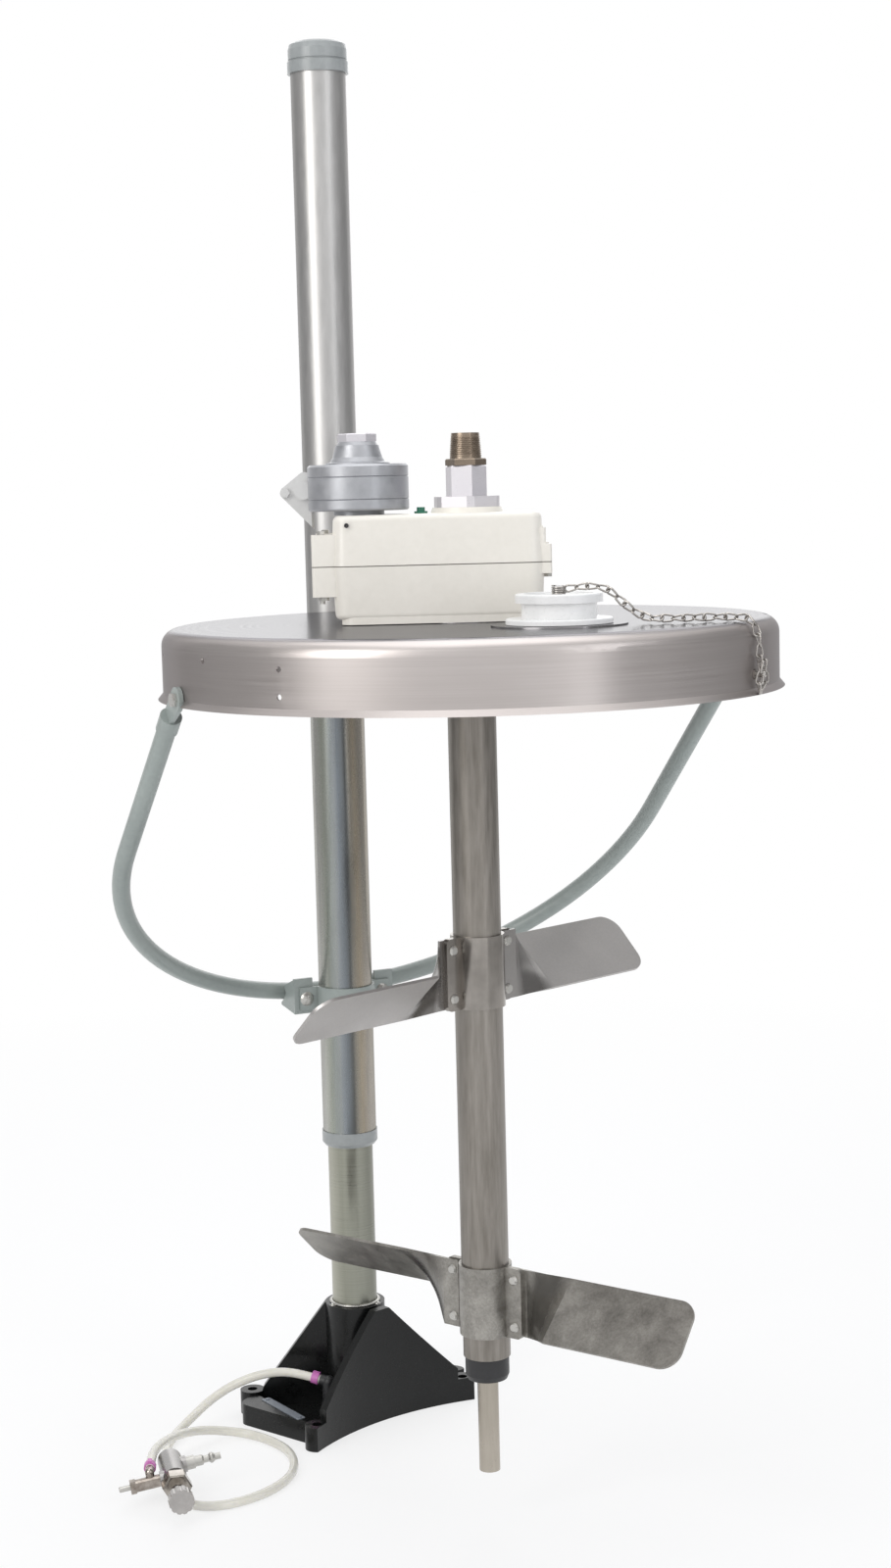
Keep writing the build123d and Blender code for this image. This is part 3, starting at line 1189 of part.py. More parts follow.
with BuildPart() as gearbox_upper:
    box_side(True, box_top - seam_high)
    fillet(gearbox_upper.edges().group_by(Axis.Z)[-1], 6)
    add_ears(left_ear_end, box_left + 12, seam_high, left_ear_top - seam_high)
    add_ears(right_ear_end, box_right - 12, seam_high, right_ear_step - seam_high)
    add_ears(right_ear_end - right_ear_set_back, box_right - 12, seam_high, right_ear_top - seam_high)
    with BuildSketch(level(gearbox_plane, box_top - 6)):
        Circle(outlet_boss_radius + 2)
    extrude(amount=outlet_boss_top - box_top + 6, taper=20)
    with BuildSketch(level(gearbox_plane, seam_high)):
        box_profile(box_wall)
    extrude(amount=inner_ceiling - seam_high, taper=box_draft, mode=Mode.SUBTRACT)
    with BuildSketch(level(idler_plane, inner_ceiling + 1)):
        Circle(idler_shaft_radius + 4)
    extrude(amount=-(inner_ceiling + 1 - input_gear_z - input_gear_face - 3))
    with BuildSketch(level(idler_plane, box_top - 14)):
        Circle(idler_shaft_radius + running_gap)
    extrude(amount=-30, mode=Mode.SUBTRACT)
    with BuildSketch(level(motor_plane, seam_high)):
        Circle(motor_shaft_radius + 2)
    extrude(amount=100, mode=Mode.SUBTRACT)
    with BuildSketch(level(gearbox_plane, seam_high)):
        Circle(siphon_radius + 0.5)
    extrude(amount=100, mode=Mode.SUBTRACT)
    with BuildSketch(level(gearbox_plane, box_top)):
        with Locations((-45, -10)):
            Circle(5 + seat_gap)
    extrude(amount=-12, mode=Mode.SUBTRACT)
    cut_bolt_holes()
save(gearbox_upper, "gearbox_upper")

with BuildPart() as gearbox_gasket:
    with BuildSketch(level(gearbox_plane, seam_low + seat_gap / 2)):
        box_profile(0.3)
        box_ears(left_ear_end + 0.3, box_left + 12)
        box_ears(right_ear_end - 0.3, box_right - 12)
        box_profile(box_wall)
        with Locations((box_middle, 0)):
            RectangleRounded(box_length - 2 * box_wall, 2 * (box_half_width - box_wall),
                             box_corner - box_wall, mode=Mode.SUBTRACT)
        with Locations(*bolt_spots):
            Circle(box_bolt_radius + seat_gap, mode=Mode.SUBTRACT)
    extrude(amount=gasket_thickness - seat_gap)
save(gearbox_gasket, "gearbox_gasket")

with BuildPart() as gearbox_bolts:
    for aside in (-ear_offset, ear_offset):
        grip = left_ear_top - left_ear_bottom + 2 * seat_gap
        spot = gearbox_plane.from_local_coords((left_bolt, aside, left_ear_top + seat_gap))
        add(hex_bolt(box_bolt_radius, grip + 7, 4.2, 3.5, grip).moved(Location(spot)))
        spot = gearbox_plane.from_local_coords((right_bolt, aside, right_ear_bottom - seat_gap))
        add(hex_bolt(box_bolt_radius, right_ear_step - right_ear_bottom - 4, 4.2, 3.5).moved(
            Location(spot, (180, 0, 0))))
    for angle in mount_angles:
        spot = agitator_plane.origin + Vector(
            mount_bolt_circle * cos(radians(angle)), mount_bolt_circle * sin(radians(angle)),
            cover_top_z - cover_thickness - doubler_thickness - seat_gap)
        add(hex_bolt(3, 15.5, 5.5, 4).moved(Location(spot, (180, 0, 0))))
save(gearbox_bolts, "gearbox_bolts")

with BuildPart() as vent_plug:
    with BuildSketch(level(gearbox_plane, box_top + seat_gap)):
        with Locations((-45, -10)):
            Circle(5)
    extrude(amount=-6)
    with BuildSketch(level(gearbox_plane, box_top + seat_gap)):
        with Locations((-45, -10)):
            RegularPolygon(6.5, 6)
    extrude(amount=2)
    with BuildSketch(level(gearbox_plane, box_top + seat_gap)):
        with Locations((-45, -10)):
            Circle(4)
    extrude(amount=6)
save(vent_plug, "vent_plug")

# ---------------------------------------------------------------- outlet
with BuildPart() as outlet_nut:
    with BuildSketch(level(agitator_plane, outlet_boss_top + seat_gap)):
        RegularPolygon(nut_hex_radius, 6, rotation=nut_turn)
    extrude(amount=nut_height - seat_gap)
    with BuildSketch(level(agitator_plane, outlet_boss_top)):
        Circle(nut_hex_radius - 2)
    extrude(amount=nut_height, mode=Mode.INTERSECT)
    with BuildSketch(level(agitator_plane, outlet_boss_top)):
        Circle(siphon_radius + seat_gap)
    extrude(amount=nut_height, mode=Mode.SUBTRACT)
save(outlet_nut, "outlet_nut")

coupling_bottom = outlet_boss_top + nut_height + seat_gap
coupling_top = coupling_bottom + coupling_height
with BuildPart() as outlet_coupling:
    with BuildSketch(level(agitator_plane, coupling_bottom)):
        RegularPolygon(coupling_hex_radius, 6, rotation=coupling_turn)
    extrude(amount=coupling_height)
    with BuildSketch(level(agitator_plane, coupling_bottom)):
        Circle(coupling_hex_radius + 1.5)
    extrude(amount=coupling_height, taper=0, mode=Mode.INTERSECT)
    chamfer(outlet_coupling.edges().group_by(Axis.Z)[-1], 1.5)
    with BuildSketch(level(agitator_plane, coupling_bottom)):
        Circle(siphon_radius + seat_gap)
    extrude(amount=coupling_height, mode=Mode.SUBTRACT)
save(outlet_coupling, "outlet_coupling")

nipple_bottom = coupling_top + seat_gap
nipple_top = nipple_bottom + nipple_hex_height + nipple_length
with BuildPart() as outlet_nipple:
    with BuildSketch(level(agitator_plane, nipple_bottom)):
        RegularPolygon(nipple_hex_radius, 6, rotation=nipple_turn)
    extrude(amount=nipple_hex_height)
    chamfer(outlet_nipple.edges().group_by(Axis.Z)[-1], 1)
    with BuildSketch(Plane(origin=agitator_plane.origin, x_dir=(1, 0, 0), z_dir=(0, -1, 0))):
        Polygon(
            (0, nipple_bottom + 1), (nipple_bottom_radius, nipple_bottom + 1),
            (nipple_bottom_radius, nipple_bottom + nipple_hex_height + 1.5), (nipple_top_radius, nipple_top),
            (0, nipple_top), align=None,
        )
    revolve(axis=Axis(agitator_plane.origin, (0, 0, 1)))
    with BuildSketch(level(agitator_plane, nipple_bottom)):
        Circle(nipple_bore)
    extrude(amount=nipple_top - nipple_bottom, mode=Mode.SUBTRACT)
save(outlet_nipple, "outlet_nipple")

# ---------------------------------------------------------------- air motor
pilot_radius, motor_gap, seam_edge = 25.0, 0.04, 0.7
with BuildPart() as motor_bottom:
    with BuildSketch(level(motor_plane, motor_bottom_z)):
        Circle(motor_radius)
    extrude(amount=motor_seam_low - motor_bottom_z)
    chamfer(motor_bottom.edges().group_by(Axis.Z)[-1], seam_edge)
    fillet(motor_bottom.edges().group_by(Axis.Z)[0], 2.5)
    with BuildSketch(level(motor_plane, box_top + seat_gap)):
        Circle(pilot_radius)
    extrude(amount=motor_bottom_z - box_top - seat_gap)
    with BuildSketch(level(motor_plane, box_top)):
        Circle(motor_shaft_radius + running_gap)
    extrude(amount=40, mode=Mode.SUBTRACT)
save(motor_bottom, "motor_bottom")

with BuildPart() as motor_body:
    with BuildSketch(level(motor_plane, motor_seam_low + motor_gap)):
        Circle(motor_radius)
        with Locations((-motor_chamber_offset, 0)):
            Circle(motor_chamber_radius, mode=Mode.SUBTRACT)
    extrude(amount=motor_seam_high - motor_seam_low - motor_gap)
    chamfer(motor_body.edges().filter_by(GeomType.CIRCLE).filter_by(
        lambda edge: edge.radius > motor_radius - 0.1), seam_edge)
save(motor_body, "motor_body")

with BuildPart() as motor_top:
    with BuildSketch(upright(motor_plane, 0)):
        with BuildLine():
            Polyline(
                (0, motor_seam_high + motor_gap), (motor_radius - seam_edge, motor_seam_high + motor_gap),
                (motor_radius, motor_seam_high + motor_gap + seam_edge),
                (motor_radius, motor_top_z - 2), (motor_radius - 2, motor_top_z),
                (cone_base_radius + 5, motor_top_z), (cone_base_radius + 4.4, motor_top_z + 1.4),
                (cone_base_radius, motor_top_z + 2.6), (cone_base_radius - 2.6, motor_top_z + 7),
                (cone_top_radius + 1.5, cone_top_z - 7), (cone_top_radius + 0.6, cone_top_z - 3.4),
                (cone_top_radius - 0.4, cone_top_z - 3.2), (cone_top_radius - 2.2, cone_top_z),
                (0, cone_top_z), close=True,
            )
        make_face()
    revolve(axis=Axis(motor_plane.origin, (0, 0, 1)))
    with BuildSketch(level(motor_plane, motor_seam_high)):
        Circle(motor_shaft_radius + running_gap)
    extrude(amount=8, mode=Mode.SUBTRACT)
    with BuildSketch(level(motor_plane, cone_top_z)):
        Circle(9 + seat_gap)
    extrude(amount=-12, mode=Mode.SUBTRACT)
save(motor_top, "motor_top")

with BuildPart() as motor_plug:
    with BuildSketch(level(motor_plane, cone_top_z + seat_gap)):
        RegularPolygon(plug_hex_radius, 6)
    extrude(amount=plug_hex_height)
    chamfer(motor_plug.edges().group_by(Axis.Z)[-1], 1)
    with BuildSketch(level(motor_plane, cone_top_z + seat_gap)):
        Circle(9)
    extrude(amount=-10)
save(motor_plug, "motor_plug")

# the diamond port flange on the motor's left
flange_aside, flange_thickness = 20.0, 6.0
with BuildPart() as lever_plate:
    with BuildSketch(Plane(origin=gearbox_plane.from_local_coords((0, flange_aside, 0)),
                           x_dir=gearbox_plane.x_dir, z_dir=-gearbox_plane.y_dir)):
        with Locations((-178, 1052), (-160, 1066)):
            Circle(6)
        with Locations((-145, 1016.5), (-139, 1016.5)):
            Circle(5)
        make_hull()
    extrude(amount=flange_thickness)
    with BuildSketch(Plane(origin=gearbox_plane.from_local_coords((0, flange_aside - flange_thickness, 0)),
                           x_dir=gearbox_plane.x_dir, z_dir=-gearbox_plane.y_dir)):
        with Locations((-161, 1054)):
            Circle(9)
    extrude(amount=8)
    with BuildSketch(Plane(origin=gearbox_plane.from_local_coords((0, flange_aside - flange_thickness, 0)),
                           x_dir=gearbox_plane.x_dir, z_dir=-gearbox_plane.y_dir)):
        with Locations((-179, 1052)):
            RegularPolygon(5, 6)
    extrude(amount=5)
    with BuildSketch(level(motor_plane, motor_seam_low + 2)):
        Circle(motor_radius + seat_gap)
    extrude(amount=100, both=True, mode=Mode.SUBTRACT)
save(lever_plate, "lever_plate")
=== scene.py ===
"""Looks for the air-driven tank agitator: materials, hose, chain links, small hardware, studio and camera.

Lengths are in metres, in the frame of the CAD model: origin on the floor at the post's axis, Z up.
"""

import json
import math
import random

import bmesh
import bpy
from mathutils import Matrix, Vector


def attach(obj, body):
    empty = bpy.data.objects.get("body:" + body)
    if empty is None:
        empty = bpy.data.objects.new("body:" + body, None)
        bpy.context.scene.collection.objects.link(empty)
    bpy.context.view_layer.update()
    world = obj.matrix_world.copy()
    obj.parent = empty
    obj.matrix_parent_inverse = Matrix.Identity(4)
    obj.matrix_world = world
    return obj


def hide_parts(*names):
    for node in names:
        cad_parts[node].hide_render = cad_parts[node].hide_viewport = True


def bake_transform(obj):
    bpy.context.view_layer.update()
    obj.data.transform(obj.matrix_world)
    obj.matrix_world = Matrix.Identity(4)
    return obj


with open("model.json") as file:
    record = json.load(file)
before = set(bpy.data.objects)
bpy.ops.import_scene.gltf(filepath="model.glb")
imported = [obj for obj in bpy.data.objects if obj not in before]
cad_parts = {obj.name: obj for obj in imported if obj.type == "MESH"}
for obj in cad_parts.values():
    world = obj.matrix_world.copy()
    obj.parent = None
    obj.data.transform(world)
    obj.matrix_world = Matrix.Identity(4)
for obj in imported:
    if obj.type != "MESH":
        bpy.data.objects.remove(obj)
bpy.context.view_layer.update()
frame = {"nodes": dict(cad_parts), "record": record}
nodes = frame["nodes"]

# places on the object
AXIS = Vector((0.0, -0.351, 0.0))          # the agitator's axis on the floor
GEARBOX_TURN = math.radians(-25.35)        # direction of the gearbox's long axis
COVER_TOP, COVER_RADIUS = 0.923, 0.303
BUNG_TOP, BUNG_ALONG, BUNG_ASIDE = 0.953, 0.084, -0.128      # along and across the gearbox, from the axis
HOOK_ANGLE, HOOK_Z = math.radians(-55.0), 0.874
POST_RADIUS, LIFT_RADIUS = 0.025, 0.030
SADDLE_FOOT = 0.87                         # below it the lift tube is bare zinc

# the camera
CAMERA_PLACE = (-1.0702, -2.6102, 1.0546)
CAMERA_HEADING, CAMERA_TILT, CAMERA_ROLL = math.radians(65.29), 0.117, 0.0254
CAMERA_LENS, SENSOR_HEIGHT = 58.13, 36.0


# ------------------------------------------------------------------ material helpers
class Mat:
    """A node material with a principled shader and short helpers for its textures."""

    def __init__(self, name, rough=0.4, metal=0.0, coat=0.0):
        self.mat = bpy.data.materials.new(name)
        self.mat.use_nodes = True
        self.tree = self.mat.node_tree
        self.tree.nodes.clear()
        self.out = self.node("ShaderNodeOutputMaterial")
        self.bsdf = self.node("ShaderNodeBsdfPrincipled")
        self.link(self.bsdf.outputs["BSDF"], self.out.inputs["Surface"])
        self.set("Roughness", rough)
        self.set("Metallic", metal)
        self.set("Coat Weight", coat)
        coords = self.node("ShaderNodeTexCoord")
        self.coords = coords.outputs["Object"]

    def node(self, kind, **props):
        made = self.tree.nodes.new(kind)
        for key, value in props.items():
            setattr(made, key, value)
        return made

    def link(self, a, b):
        self.tree.links.new(a, b)

    def set(self, socket, value):
        self.bsdf.inputs[socket].default_value = value

    def mapping(self, scale=(1, 1, 1), location=(0, 0, 0)):
        made = self.node("ShaderNodeMapping")
        made.inputs["Scale"].default_value = scale
        made.inputs["Location"].default_value = location
        self.link(self.coords, made.inputs["Vector"])
        return made.outputs["Vector"]

    def noise(self, vector, scale=10.0, detail=4.0, rough=0.55, distort=0.0):
        made = self.node("ShaderNodeTexNoise")
        made.inputs["Scale"].default_value = scale
        made.inputs["Detail"].default_value = detail
        made.inputs["Roughness"].default_value = rough
        made.inputs["Distortion"].default_value = distort
        self.link(vector, made.inputs["Vector"])
        return made.outputs["Fac"]

    def bands(self, scale, detail, along):
        """Upright streaks: noise that hardly changes with height."""
        return self.noise(self.mapping(scale=(1, 1, along)), scale, detail, 0.6)

    def levels(self, scale, detail=3.0):
        """Fine level lines, as a lathe leaves them on an upright piece."""
        return self.noise(self.mapping(scale=(0.01, 0.01, 1)), scale, detail, 0.6)

    def ramp(self, fac, *stops):
        """Colours by value; each stop is a position and a colour."""
        made = self.node("ShaderNodeValToRGB")
        ramp = made.color_ramp
        while len(ramp.elements) < len(stops):
            ramp.elements.new(0.5)
        for element, (at, colour) in zip(ramp.elements, stops):
            element.position = at
            element.color = (*colour, 1.0)
        self.link(fac, made.inputs["Fac"])
        return made.outputs["Color"]

    def grey(self, fac, low, high, start=0.3, end=0.7):
        """A plain value from low to high, for roughness and for mixing."""
        return self.ramp(fac, (start, (low,) * 3), (end, (high,) * 3))

    def mix(self, fac, a, b, blend="MIX"):
        """a where fac is 0 and b where it is 1; each may be a colour or a socket."""
        made = self.node("ShaderNodeMix", data_type="RGBA", blend_type=blend)
        for value, name in ((a, "A"), (b, "B")):
            socket = [s for s in made.inputs if s.name == name and s.type == "RGBA"][0]
            if isinstance(value, tuple):
                socket.default_value = value + (1.0,)
            else:
                self.link(value, socket)
        factor = [s for s in made.inputs if s.name == "Factor" and s.type == "VALUE"][0]
        if isinstance(fac, (int, float)):
            factor.default_value = fac
        else:
            self.link(fac, factor)
        return [s for s in made.outputs if s.type == "RGBA"][0]

    def math(self, op, a, b, clamp=False):
        made = self.node("ShaderNodeMath", operation=op, use_clamp=clamp)
        for value, socket in ((a, made.inputs[0]), (b, made.inputs[1])):
            if isinstance(value, (int, float)):
                socket.default_value = value
            else:
                self.link(value, socket)
        return made.outputs[0]

    def z_between(self, low, high):
        """0 below low, 1 above high."""
        split = self.node("ShaderNodeSeparateXYZ")
        self.link(self.coords, split.inputs[0])
        return self.remap(split.outputs["Z"], low, high)

    def remap(self, value, low, high, start=0.0, end=1.0):
        """start at low and below, end at high and above, even in between."""
        made = self.node("ShaderNodeMapRange")
        made.inputs["From Min"].default_value = low
        made.inputs["From Max"].default_value = high
        made.inputs["To Min"].default_value = start
        made.inputs["To Max"].default_value = end
        self.link(value, made.inputs["Value"])
        return made.outputs["Result"]

    def distance(self, centre):
        """Distance from a vertical axis."""
        flat = self.mapping(scale=(1, 1, 0), location=(-centre[0], -centre[1], 0))
        length = self.node("ShaderNodeVectorMath", operation="LENGTH")
        self.link(flat, length.inputs[0])
        return length.outputs["Value"]

    def radius(self, centre):
        """Distance from a vertical axis, as a vector with only X."""
        joined = self.node("ShaderNodeCombineXYZ")
        self.link(self.distance(centre), joined.inputs[0])
        return joined.outputs[0]

    def across(self, half_width, waver):
        """0 to 1 across a tube on the origin's axis, from the camera's left to its right, a little wavy."""
        made = self.node("ShaderNodeVectorMath", operation="DOT_PRODUCT")
        made.inputs[1].default_value = (math.sin(CAMERA_HEADING), -math.cos(CAMERA_HEADING), 0)
        self.link(self.coords, made.inputs[0])
        drift = self.noise(self.mapping(scale=(1, 1, 0.25)), 9.0, 3)
        wave = self.math("MULTIPLY", self.math("ADD", drift, -0.5), waver)
        return self.remap(self.math("ADD", made.outputs["Value"], wave), -half_width, half_width)

    def colour(self, value):
        self.link(value, self.bsdf.inputs["Base Color"])

    def rough(self, value):
        self.link(value, self.bsdf.inputs["Roughness"])

    def bump(self, height, strength, distance=0.0004):
        made = self.node("ShaderNodeBump")
        made.inputs["Strength"].default_value = strength
        made.inputs["Distance"].default_value = distance
        self.link(height, made.inputs["Height"])
        self.link(made.outputs["Normal"], self.bsdf.inputs["Normal"])

    def finish(self, low, high, spot_scale, fine_scale, bump, rough_low, rough_high, stretch=(1, 1, 1)):
        """The common finish: broad colour drift, fine grain in colour, roughness and relief."""
        broad = self.noise(self.mapping(), spot_scale, 3)
        fine = self.noise(self.mapping(scale=stretch), fine_scale, 5, 0.6)
        both = self.mix(0.35, broad, fine)
        self.colour(self.ramp(both, (0.32, low), (0.68, high)))
        self.rough(self.grey(fine, rough_low, rough_high))
        self.bump(fine, bump)


def rgb(r, g, b):
    """A colour as seen on screen, 0 to 255, as the linear value a shader wants."""
    def linear(c):
        c /= 255.0
        return c / 12.92 if c <= 0.04045 else ((c + 0.055) / 1.055) ** 2.4
    return (linear(r), linear(g), linear(b))


def paint(name, low, high, rough=0.35, coat=0.3, bump=0.1, fine=220.0):
    made = Mat(name, rough=rough, coat=coat)
    made.finish(low, high, 7.0, fine, bump, rough * 0.85, rough * 1.2)
    return made.mat


def plastic(name, low, high, rough=0.35, bump=0.05):
    made = Mat(name, rough=rough)
    made.finish(low, high, 20.0, 300.0, bump, rough * 0.85, rough * 1.2)
    return made.mat


def metal(name, low, high, rough=0.3, stretch=(1, 1, 1), bump=0.05, fine=120.0, spot=9.0, metallic=1.0):
    made = Mat(name, rough=rough, metal=metallic)
    made.finish(low, high, spot, fine, bump, rough * 0.8, rough * 1.25, stretch)
    return made.mat


def cover_material():
    """Spun stainless: rings on the top, level lines round the skirt, warmer on the side; the top is painted
    cooler and darker as painted shade for its dim reflection.
    """
    made = Mat("cover_stainless", rough=0.34, metal=0.9)
    made.set("Specular Tint", (0.34, 0.34, 0.35, 1))
    rings = made.noise(made.radius(AXIS), 260.0, 3, 0.6)
    lines = made.noise(made.mapping(scale=(0.6, 0.6, 70)), 9.0, 5, 0.65)
    top = made.z_between(COVER_TOP - 0.0035, COVER_TOP - 0.0005)
    broad = made.noise(made.mapping(scale=(1, 1, 2)), 3.0, 3)
    grain = made.mix(top, lines, rings)
    side_colour = made.ramp(made.mix(0.3, broad, lines),
                            (0.34, rgb(176, 169, 166)), (0.66, rgb(196, 190, 188)))
    # painted shade: the top gets a cooler, darker colour than the side, standing in for its dim reflection
    top_painted_shade = made.ramp(made.mix(0.25, broad, rings),
                           (0.34, rgb(160, 158, 159)), (0.66, rgb(176, 174, 176)))
    made.colour(made.mix(top, side_colour, top_painted_shade))
    made.rough(made.mix(top, made.grey(lines, 0.29, 0.38), made.grey(rings, 0.16, 0.24)))
    made.bump(grain, 0.02, 0.0002)
    return made.mat


def lift_material():
    """Satin drawn tube; below the saddle it is bare zinc with bluish and yellowish upright streaks and dark
    scuffs, over bands of painted reflection across the tube from the camera's left to its right: light,
    greenish, bluish, dark, yellowish, light.
    """
    made = Mat("lift_tube_steel", rough=0.3, metal=0.9)
    made.set("Specular Tint", (0.6, 0.6, 0.6, 1))
    fine = made.noise(made.mapping(scale=(1, 1, 0.2)), 150.0, 5, 0.6)
    broad = made.noise(made.mapping(scale=(1, 1, 0.35)), 6.0, 4, 0.6)
    # painted reflection: the zinc's colour is set by where it stands across the tube as the camera sees it,
    # dark in the middle, light at the edges
    painted_reflection_across = made.across(LIFT_RADIUS, 0.007)
    scuff = made.noise(made.mapping(scale=(1, 1, 0.12)), 120.0, 6, 0.7)
    upper = made.ramp(made.mix(0.4, broad, fine), (0.3, rgb(170, 169, 168)), (0.7, rgb(194, 193, 192)))
    zinc = made.ramp(painted_reflection_across, (0.06, rgb(208, 208, 204)), (0.2, rgb(172, 176, 164)), (0.42, rgb(138, 146, 154)),
                     (0.62, rgb(104, 106, 105)), (0.78, rgb(158, 146, 128)), (0.95, rgb(186, 180, 172)))
    streaks = made.ramp(made.bands(60.0, 3.0, 0.01), (0.34, rgb(112, 118, 124)), (0.66, rgb(176, 170, 154)))
    zinc = made.mix(0.28, zinc, streaks)
    zinc = made.mix(made.grey(scuff, 0.0, 0.25, 0.45, 0.75), zinc, rgb(104, 106, 106))
    edge = made.z_between(SADDLE_FOOT - 0.008, SADDLE_FOOT)
    made.colour(made.mix(edge, zinc, upper))
    made.rough(made.mix(edge, made.grey(scuff, 0.2, 0.34), made.grey(fine, 0.32, 0.4)))
    made.bump(fine, 0.01, 0.0002)
    return made.mat


def post_material():
    """Ground post under thin zinc: greenish grey, with faint level grinding lines, and painted light across
    it as the camera sees it: a painted highlight on the left, painted shade towards the right.
    """
    made = Mat("post_ground_zinc", rough=0.3, metal=0.85)
    lines = made.levels(700.0)
    broad = made.noise(made.mapping(scale=(1, 1, 0.4)), 8.0, 4)
    streak = made.bands(46.0, 3.0, 0.05)
    tone = made.mix(0.3, made.mix(0.5, broad, streak), lines)
    bare = made.ramp(tone, (0.34, rgb(156, 156, 147)), (0.66, rgb(188, 187, 178)))
    # painted light across the post as the camera sees it: a painted highlight on the left, painted shade
    # towards the right
    shade = made.ramp(made.across(POST_RADIUS, 0.005), (0.1, rgb(255, 255, 250)), (0.3, rgb(216, 218, 212)),
                      (0.6, rgb(228, 230, 226)), (0.9, rgb(196, 198, 194)))
    made.colour(made.mix(1.0, bare, shade, "MULTIPLY"))
    made.rough(made.grey(lines, 0.26, 0.38))
    made.bump(lines, 0.04, 0.0002)
    return made.mat


def shaft_material():
    """Drawn tube as it comes from the mill: upright streaks, some blotches."""
    made = Mat("shaft_drawn", rough=0.38, metal=0.8)
    streak = made.bands(95.0, 5.0, 0.015)
    blotch = made.noise(made.mapping(scale=(1, 1, 0.3)), 12.0, 5, 0.6)
    fine = made.noise(made.mapping(scale=(1, 1, 0.1)), 220.0, 4, 0.6)
    tone = made.mix(0.4, made.mix(0.5, streak, blotch), fine)
    made.colour(made.ramp(tone, (0.36, rgb(118, 113, 106)), (0.64, rgb(158, 153, 147))))
    made.rough(made.grey(fine, 0.3, 0.44))
    made.bump(fine, 0.05, 0.0002)
    return made.mat


def blade_material():
    """Blasted stainless: nearly even, with painted shade darkening the twist and the upper pair's flanges,
    which are also glossier; the lower pair mottled from use.
    """
    made = Mat("blade_stainless", rough=0.36, metal=0.8)
    grain = made.noise(made.mapping(), 420.0, 4, 0.6)
    mottle = made.noise(made.mapping(), 34.0, 7, 0.72, 0.4)
    broad = made.noise(made.mapping(), 7.0, 3)
    clean = made.ramp(made.mix(0.35, broad, grain), (0.34, rgb(174, 171, 169)), (0.66, rgb(190, 187, 185)))
    worn = made.ramp(made.mix(0.25, mottle, grain), (0.36, rgb(106, 103, 96)), (0.5, rgb(140, 137, 130)),
                     (0.64, rgb(168, 165, 158)))
    lower_pair = made.z_between(0.32, 0.28)
    face = made.mix(made.math("MULTIPLY", lower_pair, 0.8), clean, worn)
    out = made.distance(AXIS)
    # painted shade: the twist and the upper pair's flanges are darkened, picked out by distance from the axis
    # and by height
    upper_flange_painted_shade = made.math("MULTIPLY", made.z_between(0.4, 0.44), 0.6)
    twist = made.math("MAXIMUM", made.remap(out, 0.047, 0.062), upper_flange_painted_shade)
    twist = made.math("MULTIPLY", twist, made.remap(out, 0.108, 0.088))
    twist = made.math("MULTIPLY", twist, made.grey(broad, 0.5, 0.85))
    made.colour(made.mix(twist, face, rgb(88, 85, 81)))
    made.rough(made.mix(twist, made.grey(mottle, 0.32, 0.42), (0.2, 0.2, 0.2)))
    made.bump(grain, 0.04, 0.0002)
    return made.mat


def hose_material():
    """Milky polyethylene: light goes a little way in."""
    made = Mat("hose_milky", rough=0.2, coat=0.2)
    made.set("IOR", 1.45)
    made.set("Subsurface Weight", 0.55)
    made.set("Subsurface Radius", (0.006, 0.006, 0.005))
    made.finish(rgb(224, 221, 210), rgb(238, 236, 227), 10.0, 120.0, 0.03, 0.16, 0.28)
    return made.mat


def cast_material():
    """Black enamel over a cast surface: deep black, with the casting's grain in its gloss."""
    made = Mat("cast_gloss_black", rough=0.28, coat=0.12)
    made.set("Specular IOR Level", 0.25)
    made.finish(rgb(12, 13, 13), rgb(26, 27, 27), 7.0, 120.0, 0.35, 0.24, 0.36)
    return made.mat


